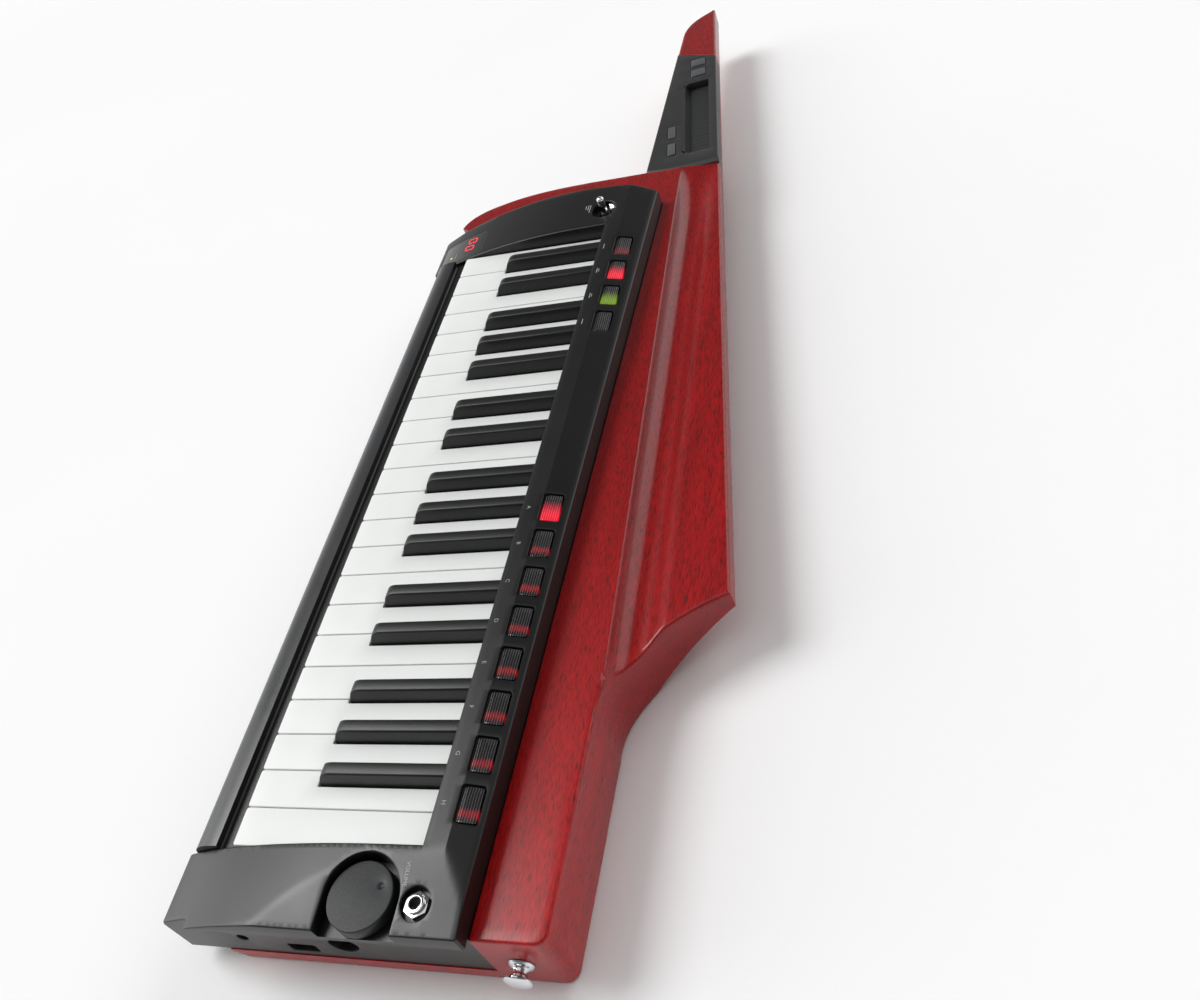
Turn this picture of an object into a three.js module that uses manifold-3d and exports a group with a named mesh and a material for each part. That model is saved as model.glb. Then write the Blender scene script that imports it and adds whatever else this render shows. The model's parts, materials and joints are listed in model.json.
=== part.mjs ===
// A shoulder-worn keyboard: a wooden body with a neck and a wing, 37 sprung keys and their controls.
// Millimetres. X runs from the neck to the tail, Y from the player to the wing, Z up from the back.
// Every piece is drawn from one datum: the front left top corner of the lowest white key.
import * as THREE from "three";
import { mergeVertices } from "three/addons/utils/BufferGeometryUtils.js";
import Module from "manifold-3d";

const wasm = await Module();
wasm.setup();

// Clearances
const seatGap = 0.3;
const keyGap = 0.6;
const overrun = 8;
const hairStep = 0.05;
const weldStep = 0.001;

// White keys
const keyPitch = 20.8;
const whiteCount = 22;
const keysEndX = whiteCount * keyPitch;
const whiteShownLength = 114;
const whiteTopThickness = 3;
const whiteLipDepth = 11;
const whiteLipThickness = 3;
const whiteCornerRadius = 1.6;
const whiteEdgeRound = 0.9;
const keyHingeSetback = 7;
const keyHingeY = whiteShownLength + keyHingeSetback;
const keyHingeDrop = 7;
const keyHingeRadius = 2.2;
const keyHeelLength = 4.2;
const keyRearGap = 0.5;
const keyHeelDepth = 9.6;
const keyHeelRun = 14;
const cornerEaseShare = 0.3;

// Black keys
const blackWidthBase = 9.6;
const blackWidthTop = 7.2;
const blackHeight = 9;
const blackFrontY = 38.7;
const blackNoseRun = 6;
const blackSkirtDepth = 5;
const blackShoulderRound = 1.2;
const blackNoseShares = { top: 1.5, bend: 0.8, low: 0.6, bendHeight: 0.95, lowHeight: 0.72 };
const blackSpread = 2.3;
const blackWideSpread = 3.2;
const notchGap = 0.9;
const notchFrontGap = 1.1;

// Control panel
const panelRearX = -38;
const tailBlockLength = 40.8;
const panelTailX = keysEndX + tailBlockLength;
const panelSideX = -47;
const panelFrontY = -33;
const panelFrontZ = -12;
const panelDepth = 39.7;
const panelBottomZ = -panelDepth;
const panelCorner = 7;
const panelWaist = 9.9;
const panelSideShares = { upper: 0.68, lower: 0.2 };
const browEdgeDrop = 0.4;
const browBendDrop = 1.4;
const browShares = { edge: 0.8, bend: 0.44, front: 0.3 };
const stripInnerZ = 11.2;
const stripInnerWidth = 12.6;
const stripOuterWidth = 19.4;
const stripTaper = 5.6;
const stripCreaseY = whiteShownLength + stripInnerWidth;
const panelRearY = stripCreaseY + stripOuterWidth;
const panelTailY = panelRearY - stripTaper;
const stripCreaseZ = 11.6;
const stripEdgeZ = 6.6;
const stripLipThickness = 1.5;
const keyWindowGap = 1;
const tailSlopeLead = 4.4;
const tailSlopeStartX = keysEndX + tailSlopeLead;
const tailSlopeDrop = 5.6;
const railFrontY = -28;

// Wooden body
const bodyTopZ = -5;
const bodyBaseZ = -50;
const tailOverhang = 4.4;
const tailX = panelTailX - tailOverhang;
const shoulderX = -82;
const rimFrontX = -47;
const rimFrontY = -19;
const woodFlatWidth = 7.6;
const ridgeNeckY = panelRearY + woodFlatWidth;
const ridgeSlope = 0.056;
const waistWidth = 24.4;
const waistY = ridgeNeckY + waistWidth;
const wingTipSetback = 186;
const wingTipX = tailX - wingTipSetback;
const wingTipReach = 59;
const wingTipY = waistY + wingTipReach;
const wingEndSetback = 133;
const wingEndX = tailX - wingEndSetback;
const wingTopZ = -9;
const wingEdgeThickness = 13;
const wingScallop = 7;
const waistRun = 23;
const tailCorner = 7;
const scallopShares = { waist: 1.3, dip: 0.5, reach: 2, rise: 0.46, tip: 1.4 };
const neckTipX = -318;
const neckTopZ = -6;
const neckInset = 20.5;
const neckPlayerY = panelRearY - neckInset;
const neckTipPlayerX = -288;
const neckTipWidth = 23.5;
const neckTipEdgeY = neckPlayerY + neckTipWidth;
const neckBaseZ = -31;
const neckHeelX = -128;
const coveWidth = 29;
const coveDepth = 9.5;
const coveSteep = 13;
const coveShares = { start: 0.25, startDepth: 0.75, foot: 0.6, rise: 1.5, lip: 0.8 };
const bevelRun = 50;
const bevelReachShare = 0.4;
const trayFloorZ = panelBottomZ - seatGap;
const trayFrontY = -9;
const trayFrontRound = 13;
const shoulderBevelTopZ = -30;
const shoulderBevelRun = 34;

// Front rail and key chassis
const railTopZ = -1.1;
const railInnerY = -10.4;
const railWall = 2.6;
const ledgeZ = -5.6;
const ledgeInnerY = -1.4;
const railShares = { rise: 0.35, lead: 0.7 };
const chassisThickness = 3;
const hingeBlockLead = 3.5;
const hingeBlockFrontY = keyHingeY - hingeBlockLead;
const stopRailY = 22;
const stopRailWidth = 9;
const stopRailTopZ = -9.4;
const chassisFloorZ = trayFloorZ + seatGap;

// Round controls
const dialTailSetback = 17;
const dialX = panelTailX - dialTailSetback;
const dialSetback = 27.8;
const dialY = whiteShownLength - dialSetback;
const dialRadius = 17;
const dialTopZ = 6.4;
const dialThickness = 7.1;
const dialPocketRadius = 20.2;
const dialPocketShiftX = 0.8;
const dialPocketShiftY = 1.4;
const dialPocketFlare = 1.3;
const dialPocketFloorZ = -1;
const dialDimpleRadius = 2.6;
const dialDimpleDepth = 0.8;
const dialEdgeRound = 1;
const spindleRadius = 3;
const spindleLength = 6;
const jackTailSetback = 14.4;
const jackX = panelTailX - jackTailSetback;
const jackLead = 3;
const jackY = whiteShownLength + jackLead;
const jackRecessRadius = 8;
const jackRecessDepth = 3.4;
const jackNutFlats = 11.5;
const jackNutHeight = 2.6;
const jackBushRadius = 4.7;
const jackBushHeight = 1.6;
const jackBoreRadius = 3.3;
const jackBoreDepth = 22;

// Octave lever
const leverX = -19.5;
const leverSetback = 4.5;
const leverY = whiteShownLength - leverSetback;
const leverTopZ = 10.6;
const leverRadius = 2.4;
const leverHeight = 11.2;
const leverPivotDepth = 4;
const leverBallRadius = 3.6;
const leverBallShares = { low: 0.7, shoulder: 0.8, shoulderRise: 0.6 };
const leverRecessRadius = 9.2;
const leverRecessDepth = 3.6;
const leverCollarOuter = 8.8;
const leverCollarInner = 6.6;
const leverCollarHeight = 2.8;

// Push buttons on the strip
const capLength = 17.3;
const capWidth = 7.8;
const capSunk = 0.9;
const capBody = 4.4;
const capCorner = 1.2;
const capTravelRoom = 1.2;
const capInset = 4;
const capPocketLength = 20;
const capPocketWidth = 12.8;
const capPocketDepth = 1.6;
const capPocketCorner = 2;
const capY = stripCreaseY + capInset;
const functionFirstX = 25;
const functionStep = 25.7;
const functionCount = 4;
const programStep = 25.6;
const programCount = 8;
const programEndSetback = 20.4;
const programFirstX = keysEndX - programEndSetback - (programCount - 1) * programStep;

// Display
const displayLowX = -29.6;
const displayHighX = -4;
const displayFrontY = -29;
const displayRearY = 9.8;
const displayDepth = 0.8;

// Neck panel
const neckPanelTopX = -250;
const neckPanelEndX = -82.4;
const neckPanelEndRun = 4.2;
const neckPanelEndBow = 3;
const neckPanelTopSlant = 0.38;
const neckPanelThickness = 9.5;
const neckPanelEndBevel = 5;
const neckPanelEndDrop = 2.2;
const neckCapProud = 0.8;
const neckCapBody = 2.9;
const neckCapCorner = 0.7;
const tipCapLength = 10;
const tipCapWidth = 12;
const tipCapInset = 20.7;
const tipCapRise = 2.2;
const tipCapX = -231;
const tipCapStep = 16;
const heelCapLength = 15.5;
const heelCapWidth = 6;
const heelCapInset = 13.1;
const heelCapRise = 3.2;
const heelCapX = -130.8;
const heelCapStep = 23.2;
const neckAngle = Math.atan2(wingTipY - neckTipEdgeY, wingTipX - neckTipX);
const ribbonLength = 101.5;
const ribbonWidth = 19.4;
const ribbonDepth = 6;
const ribbonSlant = 2.8;
const ribbonMidX = -150.6;
const ribbonInset = 30.7;
const ribbonMidY = neckPlayerY + ribbonInset;

// Tail sockets
const tailFaceRecess = 4.9;
const tailFaceX = panelTailX - tailFaceRecess;
const tailLipZ = -4.5;
const socketZ = -24;
const socketDepth = 14;
const usbY = 39.5;
const usbZ = -31.5;
const usbLength = 16;
const usbHeight = 8;
const midiY = 66;
const midiRadius = 7.6;
const powerY = 8;
const powerRadius = 3.1;

// Strap pins
const pinBaseRadius = 6.3;
const pinBaseThickness = 1.4;
const pinStemRadius = 3.8;
const pinHeadRadius = 7;
const pinLength = 9.2;
const pinHeadThickness = 2.4;
const tailPinInset = 20.7;
const tailPinY = waistY - tailPinInset;
const tailPinZ = -29;
const neckPinInset = 33.5;
const neckPinY = neckPlayerY - neckPinInset;
const neckPinZ = -21;

// Facets
const bigSteps = 10;
const roundSteps = 24;
const smallRoundSteps = 16;
const grooveSteps = 6;
const cornerSteps = 2;
const nutSides = 6;

const black = new THREE.MeshStandardMaterial({ color: "#161716", roughness: 0.5 });
const wood = new THREE.MeshStandardMaterial({ color: "#a3161a", roughness: 0.4 });
const white = new THREE.MeshStandardMaterial({ color: "#f2f3f1", roughness: 0.3 });
const ebony = new THREE.MeshStandardMaterial({ color: "#1d1f1e", roughness: 0.55 });
const lens = new THREE.MeshStandardMaterial({ color: "#6b1d1d", roughness: 0.3 });
const greyCap = new THREE.MeshStandardMaterial({ color: "#56585a", roughness: 0.5 });
const chrome = new THREE.MeshStandardMaterial({ color: "#d8d9da", roughness: 0.15, metalness: 1 });

// Booleans
function toSolid(geometry) {
  const bare = geometry.clone();
  bare.deleteAttribute("normal");
  bare.deleteAttribute("uv");
  const merged = mergeVertices(bare, weldStep);
  return new wasm.Manifold(new wasm.Mesh({
    numProp: 3,
    vertProperties: new Float32Array(merged.attributes.position.array),
    triVerts: new Uint32Array(merged.index.array),
  }));
}

function toGeometry(solid) {
  const mesh = solid.getMesh();
  const geometry = new THREE.BufferGeometry();
  geometry.setAttribute("position", new THREE.BufferAttribute(mesh.vertProperties, 3));
  geometry.setIndex(new THREE.BufferAttribute(mesh.triVerts, 1));
  const flat = geometry.toNonIndexed();
  flat.computeVertexNormals();
  return flat;
}

// A plan outline in X and Y, raised between two heights.
function planSolid(points, lowZ, highZ) {
  const shape = new THREE.Shape(points.map(([x, y]) => new THREE.Vector2(x, y)));
  const geometry = new THREE.ExtrudeGeometry(shape, { depth: highZ - lowZ, bevelEnabled: false });
  geometry.translate(0, 0, lowZ);
  return toSolid(geometry);
}

// A section in Y and Z, carried along X.
function sectionSolid(points, lowX, highX) {
  const shape = new THREE.Shape(points.map(([y, z]) => new THREE.Vector2(y, z)));
  const geometry = new THREE.ExtrudeGeometry(shape, { depth: highX - lowX, bevelEnabled: false });
  geometry.applyMatrix4(new THREE.Matrix4().makeBasis(
    new THREE.Vector3(0, 1, 0), new THREE.Vector3(0, 0, 1), new THREE.Vector3(1, 0, 0)));
  geometry.translate(lowX, 0, 0);
  return toSolid(geometry);
}

// A side view in X and Z, carried along Y.
function sideSolid(points, lowY, highY) {
  const shape = new THREE.Shape(points.map(([x, z]) => new THREE.Vector2(x, z)));
  const geometry = new THREE.ExtrudeGeometry(shape, { depth: highY - lowY, bevelEnabled: false });
  geometry.applyMatrix4(new THREE.Matrix4().makeBasis(
    new THREE.Vector3(1, 0, 0), new THREE.Vector3(0, 0, 1), new THREE.Vector3(0, -1, 0)));
  geometry.translate(0, highY, 0);
  return toSolid(geometry);
}

function boxSolid(lowX, highX, lowY, highY, lowZ, highZ) {
  const geometry = new THREE.BoxGeometry(highX - lowX, highY - lowY, highZ - lowZ);
  geometry.translate((lowX + highX) / 2, (lowY + highY) / 2, (lowZ + highZ) / 2);
  return toSolid(geometry);
}

// A form turned about Z from [radius, height] points that start and end on the axis.
function turnedSolid(points, steps = roundSteps) {
  const profile = points.map(([radius, height]) => new THREE.Vector2(radius, height));
  const geometry = new THREE.LatheGeometry(profile, steps);
  geometry.rotateX(Math.PI / 2);
  return toSolid(geometry);
}

function discSolid(radius, lowZ, highZ, steps = roundSteps) {
  return turnedSolid([[0, lowZ], [radius, lowZ], [radius, highZ], [0, highZ]], steps);
}

// Points along a curve, without its first point.
function curvePoints(curve, steps) {
  return curve.getPoints(steps).slice(1).map((point) => [point.x, point.y]);
}

function bezier(start, firstHandle, secondHandle, end) {
  return new THREE.CubicBezierCurve(
    new THREE.Vector2(...start), new THREE.Vector2(...firstHandle),
    new THREE.Vector2(...secondHandle), new THREE.Vector2(...end));
}

// A rectangle with round corners, centred on the origin.
function roundedRectangle(length, width, radius) {
  const points = [];
  for (let corner = 0; corner < 4; corner += 1) {
    const sideX = corner === 0 || corner === 3 ? 1 : -1;
    const sideY = corner < 2 ? 1 : -1;
    for (let step = 0; step <= cornerSteps; step += 1) {
      const turn = (corner + step / cornerSteps) * Math.PI / 2;
      points.push([
        sideX * (length / 2 - radius) + radius * Math.cos(turn),
        sideY * (width / 2 - radius) + radius * Math.sin(turn),
      ]);
    }
  }
  return points;
}

const root = new THREE.Group();

function addPiece(parent, name, solid, material) {
  const mesh = new THREE.Mesh(toGeometry(solid), material);
  mesh.name = name;
  parent.add(mesh);
  return mesh;
}

// The outer edge of neck and wing is one straight line.
const outerSlope = Math.tan(neckAngle);
function outerEdgeY(x) {
  return wingTipY + (x - wingTipX) * outerSlope;
}

// The tail block's top falls away towards the tail.
function tailTopZ(x) {
  return stripInnerZ - tailSlopeDrop * (x - tailSlopeStartX) / (panelTailX - tailSlopeStartX);
}

// The panel's outline in plan; a positive margin draws the wood's rebate around it.
function panelOutline(margin) {
  const side = bezier(
    [panelRearX - margin, panelRearY + margin],
    [panelSideX - panelWaist - margin, panelRearY * panelSideShares.upper],
    [panelSideX - margin, panelRearY * panelSideShares.lower],
    [panelSideX + panelCorner - margin, panelFrontY + panelCorner]);
  const corner = bezier(
    [panelSideX + panelCorner - margin, panelFrontY + panelCorner],
    [panelSideX + panelCorner, panelFrontY - margin],
    [panelSideX + panelCorner, panelFrontY - margin],
    [panelSideX + 2 * panelCorner, panelFrontY - margin]);
  return [
    [panelTailX + margin, panelFrontY - margin],
    [panelTailX + margin, panelTailY + margin],
    [panelRearX - margin, panelRearY + margin],
    ...curvePoints(side, bigSteps),
    ...curvePoints(corner, bigSteps / 2),
  ];
}

// The neck panel's ends in plan, run out past the neck's edges
function neckPanelQuad(margin) {
  const lowY = neckPlayerY - overrun;
  const highY = outerEdgeY(neckPanelEndX) + overrun;
  const end = bezier(
    [neckPanelEndX + margin, lowY],
    [neckPanelEndX + neckPanelEndBow + margin, stripCreaseY + overrun],
    [neckPanelEndX + neckPanelEndBow + margin, panelRearY + overrun],
    [neckPanelEndX - neckPanelEndRun + margin, highY]);
  return [
    [neckPanelTopX + (lowY - neckPlayerY) * neckPanelTopSlant - margin, lowY],
    [neckPanelEndX + margin, lowY],
    ...curvePoints(end, bigSteps),
    [neckPanelTopX + (highY - neckPlayerY) * neckPanelTopSlant - margin, highY],
  ];
}

// Wooden body: slab, cove along the ridge, bevelled back, neck and the tray that takes the keyboard
function woodOutline() {
  const rim = bezier(
    [shoulderX, ridgeNeckY / 2], [shoulderX, ridgeNeckY / 5],
    [(shoulderX + rimFrontX * 2) / 3 - panelCorner * 2, rimFrontY + panelCorner],
    [rimFrontX, rimFrontY]);
  const tip = bezier(
    [neckTipX, outerEdgeY(neckTipX)],
    [neckTipX + wingScallop, outerEdgeY(neckTipX) - wingScallop * scallopShares.tip],
    [neckTipPlayerX - wingScallop * 2, neckPlayerY],
    [neckTipPlayerX + wingScallop, neckPlayerY]);
  const wingEnd = bezier(
    [wingEndX + waistRun, waistY],
    [wingEndX - wingScallop * scallopShares.waist, waistY - wingScallop * scallopShares.dip],
    [wingTipX + wingScallop * scallopShares.reach, waistY + wingTipReach * scallopShares.rise],
    [wingTipX, wingTipY]);
  const corner = new THREE.EllipseCurve(tailX - tailCorner, waistY - tailCorner,
    tailCorner, tailCorner, 0, Math.PI / 2, false);
  return [
    [tailX, trayFrontY],
    [tailX, waistY - tailCorner],
    ...curvePoints(corner, grooveSteps),
    [wingEndX + waistRun, waistY],
    ...curvePoints(wingEnd, bigSteps),
    [neckTipX, outerEdgeY(neckTipX)],
    ...curvePoints(tip, bigSteps),
    [shoulderX, neckPlayerY],
    [shoulderX, ridgeNeckY / 2],
    ...curvePoints(rim, bigSteps),
    [rimFrontX + panelCorner, trayFrontY],
  ];
}

function woodBody() {
  let body = planSolid(woodOutline(), bodyBaseZ, bodyTopZ);
  const coveLength = wingEndX - shoulderX + 2 * overrun;
  const wingReach = wingTipY - ridgeNeckY + overrun;
  const wingDrop = wingTopZ - bodyTopZ;
  const steep = bezier(
    [0, 0], [coveSteep * coveShares.start, -coveDepth * coveShares.startDepth],
    [coveSteep * coveShares.foot, -coveDepth], [coveSteep, -coveDepth]);
  const rise = bezier(
    [coveSteep, -coveDepth], [coveSteep * coveShares.rise, -coveDepth],
    [coveWidth * coveShares.lip, wingDrop], [coveWidth, wingDrop]);
  const coveSection = [
    [0, overrun], [0, 0],
    ...curvePoints(steep, bigSteps),
    ...curvePoints(rise, bigSteps),
    [wingReach, wingDrop],
    [wingReach, overrun],
  ];
  const cove = sectionSolid(coveSection, 0, coveLength)
    .rotate([0, 0, THREE.MathUtils.radToDeg(Math.atan(ridgeSlope))])
    .translate([shoulderX - seatGap, ridgeNeckY, bodyTopZ]);
  body = body.subtract(cove);

  const bevelRise = wingTopZ - wingEdgeThickness - bodyBaseZ;
  const bevelSection = [
    [overrun, bevelRise + overrun * bevelRise / bevelRun],
    [-bevelRun - bevelRun * bevelReachShare, -bevelRise * bevelReachShare],
    [overrun, -overrun * 2],
  ];
  const bevelLength = wingTipX - neckTipX + 2 * (wingEndX - wingTipX) + 2 * overrun;
  const bevel = sectionSolid(bevelSection, -overrun, bevelLength)
    .rotate([0, 0, THREE.MathUtils.radToDeg(neckAngle)])
    .translate([neckTipX, outerEdgeY(neckTipX), bodyBaseZ]);
  body = body.subtract(bevel);

  const shoulderCut = sideSolid([
    [shoulderX - overrun, shoulderBevelTopZ + overrun * (shoulderBevelTopZ - bodyBaseZ) / shoulderBevelRun],
    [shoulderX - overrun, bodyBaseZ - overrun],
    [shoulderX + shoulderBevelRun + overrun, bodyBaseZ - overrun],
    [shoulderX + shoulderBevelRun, bodyBaseZ],
  ], trayFrontY - 3 * overrun, neckPlayerY - overrun);
  body = body.subtract(shoulderCut);

  const neckCut = sideSolid([
    [neckTipX - overrun, neckBaseZ], [neckTipX - overrun, bodyBaseZ - overrun],
    [shoulderX + overrun, bodyBaseZ - overrun], [shoulderX + overrun, bodyBaseZ],
    [shoulderX - overrun, bodyBaseZ + overrun / 2],
    [neckHeelX, neckBaseZ],
  ], neckPlayerY - overrun, outerEdgeY(shoulderX) + 2 * overrun);
  body = body.subtract(neckCut);

  const neckTopCut = boxSolid(neckTipX - overrun, shoulderX, neckPlayerY - overrun,
    outerEdgeY(shoulderX) + overrun, neckTopZ, bodyTopZ + overrun);
  body = body.subtract(neckTopCut);
  const panelSeat = planSolid(neckPanelQuad(seatGap), neckTopZ - neckPanelThickness - seatGap,
    bodyTopZ + overrun);
  body = body.subtract(panelSeat);

  const innerBevel = sectionSolid([
    [neckPlayerY - overrun, neckBaseZ + overrun * 2], [neckPlayerY, neckBaseZ + overrun],
    [neckPlayerY + overrun, neckBaseZ], [neckPlayerY + overrun, neckBaseZ - overrun],
    [neckPlayerY - overrun, neckBaseZ - overrun],
  ], neckTipX - overrun, neckHeelX);
  body = body.subtract(innerBevel);

  const tray = planSolid(panelOutline(seatGap), trayFloorZ, bodyTopZ + overrun);
  body = body.subtract(tray);

  const frontRound = new THREE.EllipseCurve(
    trayFrontY + trayFrontRound, trayFloorZ, trayFrontRound, trayFloorZ - bodyBaseZ,
    Math.PI, Math.PI * 1.5, false);
  const frontCut = sectionSolid([
    [trayFrontY - hairStep, trayFloorZ],
    ...curvePoints(frontRound, bigSteps),
    [trayFrontY + trayFrontRound, bodyBaseZ - overrun],
    [trayFrontY - overrun * 2, bodyBaseZ - overrun],
    [trayFrontY - overrun * 2, trayFloorZ],
  ], rimFrontX + panelCorner, tailX + overrun);
  body = body.subtract(frontCut);

  const neckPin = strapPin()
    .rotate([0, -90, 0])
    .translate([shoulderX + hairStep, neckPinY, neckPinZ]);
  return body.add(neckPin);
}

// A strap pin, standing up from the origin along Z
function strapPin() {
  return turnedSolid([
    [0, 0], [pinBaseRadius, 0], [pinBaseRadius, pinBaseThickness],
    [pinStemRadius, pinBaseThickness * 2], [pinStemRadius, pinLength - pinHeadThickness * 1.5],
    [pinHeadRadius, pinLength - pinHeadThickness],
    [pinHeadRadius, pinLength - pinHeadThickness / 3],
    [pinHeadRadius - pinHeadThickness / 3, pinLength], [0, pinLength],
  ], smallRoundSteps);
}

addPiece(root, "wood_body", woodBody(), wood);

const tailPin = addPiece(root, "tail_strap_pin", strapPin(), chrome);
tailPin.position.set(tailX + seatGap, tailPinY, tailPinZ);
tailPin.rotation.set(0, Math.PI / 2, 0);

// Control panel: one moulding that frames the keys on three sides
function panelSection() {
  const brow = bezier(
    [whiteShownLength * browShares.edge, stripInnerZ - browEdgeDrop],
    [whiteShownLength * browShares.bend, stripInnerZ - browBendDrop],
    [0, stripInnerZ * browShares.front], [panelFrontY, panelFrontZ]);
  const facetFall = (stripCreaseZ - stripEdgeZ) / (panelRearY - stripCreaseY);
  return [
    [panelFrontY, panelBottomZ],
    [panelRearY + overrun, panelBottomZ],
    [panelRearY + overrun, stripEdgeZ - overrun * facetFall],
    [panelRearY, stripEdgeZ],
    [stripCreaseY, stripCreaseZ],
    [whiteShownLength, stripInnerZ],
    [whiteShownLength * browShares.edge, stripInnerZ - browEdgeDrop],
    ...curvePoints(brow, bigSteps),
  ];
}

// Output jack: a hex nut and a bush, standing on the floor of a round recess
const jackFloorZ = tailTopZ(jackX) - jackRecessDepth;
function jackFitting() {
  const nutTopZ = jackFloorZ + jackNutHeight;
  const nutRadius = jackNutFlats / Math.sqrt(3);
  const nut = discSolid(nutRadius, jackFloorZ - hairStep, nutTopZ, nutSides);
  const bush = discSolid(jackBushRadius, jackFloorZ, nutTopZ + jackBushHeight, smallRoundSteps);
  return nut.add(bush).translate([jackX, jackY, 0]);
}

function controlPanel() {
  let panel = planSolid(panelOutline(0), panelBottomZ, stripCreaseZ + overrun);
  panel = panel.intersect(sectionSolid(panelSection(), panelSideX - 2 * overrun, panelTailX + overrun));

  const slope = sideSolid([
    [tailSlopeStartX, tailTopZ(tailSlopeStartX)],
    [panelTailX + overrun, tailTopZ(panelTailX + overrun)],
    [panelTailX + overrun, stripCreaseZ + overrun], [tailSlopeStartX, stripCreaseZ + overrun],
  ], panelFrontY - overrun, panelRearY + overrun);
  panel = panel.subtract(slope);

  const windowLow = -keyWindowGap;
  const windowHigh = keysEndX + keyWindowGap - keyGap;
  panel = panel.subtract(boxSolid(windowLow, windowHigh, panelFrontY - overrun, whiteShownLength,
    panelBottomZ - overrun, stripCreaseZ + overrun));
  const cavityRear = keyHingeY + keyHeelLength + keyRearGap;
  panel = panel.subtract(boxSolid(windowLow, windowHigh, whiteShownLength - overrun, cavityRear,
    panelBottomZ - overrun, stripInnerZ - stripLipThickness));

  for (const x of functionPlaces()) panel = panel.subtract(capWell(x));
  for (const x of programPlaces()) panel = panel.subtract(capWell(x));

  const pocketX = dialX + dialPocketShiftX;
  const pocketY = dialY + dialPocketShiftY;
  const pocket = discSolid(dialPocketRadius, dialPocketFloorZ, stripCreaseZ + overrun, roundSteps * 2)
    .translate([pocketX, pocketY, 0]);
  const pocketMouth = planSolid([
    [pocketX, pocketY - dialPocketRadius],
    [panelTailX + overrun, pocketY - dialPocketRadius - dialPocketFlare],
    [panelTailX + overrun, pocketY + dialPocketRadius - dialPocketFlare],
    [pocketX, pocketY + dialPocketRadius],
  ], dialPocketFloorZ, stripCreaseZ + overrun);
  const spindleHole = discSolid(spindleRadius + seatGap, dialPocketFloorZ - spindleLength,
    dialPocketFloorZ + seatGap, smallRoundSteps).translate([dialX, dialY, 0]);
  panel = panel.subtract(pocket).subtract(pocketMouth).subtract(spindleHole);

  const jackRecess = discSolid(jackRecessRadius, jackFloorZ, stripCreaseZ + overrun)
    .translate([jackX, jackY, 0]);
  const jackBore = discSolid(jackBoreRadius, jackFloorZ - jackBoreDepth, stripCreaseZ + overrun,
    smallRoundSteps).translate([jackX, jackY, 0]);
  panel = panel.subtract(jackRecess).add(jackFitting()).subtract(jackBore);

  const recess = discSolid(leverRecessRadius, leverTopZ - leverRecessDepth, stripCreaseZ + overrun);
  const well = discSolid(leverBallRadius + seatGap,
    leverTopZ - leverPivotDepth - leverBallRadius - 2 * seatGap, stripCreaseZ + overrun, smallRoundSteps);
  const collar = discSolid(leverCollarOuter, leverTopZ - leverRecessDepth - hairStep,
    leverTopZ - leverRecessDepth + leverCollarHeight)
    .subtract(discSolid(leverCollarInner, leverTopZ - leverRecessDepth - overrun, stripCreaseZ));
  panel = panel.subtract(recess.translate([leverX, leverY, 0]))
    .add(collar.translate([leverX, leverY, 0]))
    .subtract(well.translate([leverX, leverY, 0]));

  const displayPlan = boxSolid(displayLowX, displayHighX, displayFrontY, displayRearY,
    panelFrontZ - overrun, stripCreaseZ + overrun);
  const underWindow = sectionSolid(panelSection(), displayLowX - overrun, displayHighX + overrun)
    .translate([0, 0, -displayDepth]);
  panel = panel.subtract(displayPlan.subtract(underWindow));

  panel = panel.subtract(boxSolid(tailFaceX, panelTailX + overrun, panelFrontY - overrun,
    panelRearY + overrun, panelBottomZ - overrun, tailLipZ));
  const midi = discSolid(midiRadius, 0, socketDepth + overrun).rotate([0, 90, 0]);
  const power = discSolid(powerRadius, 0, socketDepth + overrun, smallRoundSteps).rotate([0, 90, 0]);
  const socketX = tailFaceX - socketDepth;
  panel = panel.subtract(midi.translate([socketX, midiY, socketZ]))
    .subtract(power.translate([socketX, powerY, socketZ]))
    .subtract(boxSolid(socketX, panelTailX + overrun, usbY - usbLength / 2, usbY + usbLength / 2,
      usbZ - usbHeight / 2, usbZ + usbHeight / 2));
  return panel;
}

// The outer facet of the strip, on which the caps stand
const facetTilt = Math.atan2(stripEdgeZ - stripCreaseZ, panelRearY - stripCreaseY);
const capTopZ = stripCreaseZ + (capY - stripCreaseY) * Math.tan(facetTilt);

function functionPlaces() {
  return Array.from({ length: functionCount }, (_, index) => functionFirstX + index * functionStep);
}

function programPlaces() {
  return Array.from({ length: programCount }, (_, index) => programFirstX + index * programStep);
}

// A shallow pocket around each cap, with a close well in its floor
function capWell(x) {
  const pocket = planSolid(roundedRectangle(capPocketLength, capPocketWidth, capPocketCorner),
    -capPocketDepth, overrun);
  const well = planSolid(
    roundedRectangle(capLength + 2 * seatGap, capWidth + 2 * seatGap, capCorner),
    -capBody - capTravelRoom, overrun);
  return pocket.add(well)
    .rotate([THREE.MathUtils.radToDeg(facetTilt), 0, 0])
    .translate([x, capY, capTopZ]);
}

function buttonCap() {
  const ease = capCorner / 2;
  const body = planSolid(roundedRectangle(capLength, capWidth, capCorner), -capBody, -capSunk);
  const crown = sectionSolid([
    [-capWidth / 2, -capSunk - ease], [-capWidth / 2, overrun],
    [capWidth / 2, overrun], [capWidth / 2, -capSunk - ease],
    [capWidth / 2 - ease, -capSunk], [ease - capWidth / 2, -capSunk],
  ], -capLength, capLength);
  return body.subtract(crown);
}

addPiece(root, "control_panel", controlPanel(), black);

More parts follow.
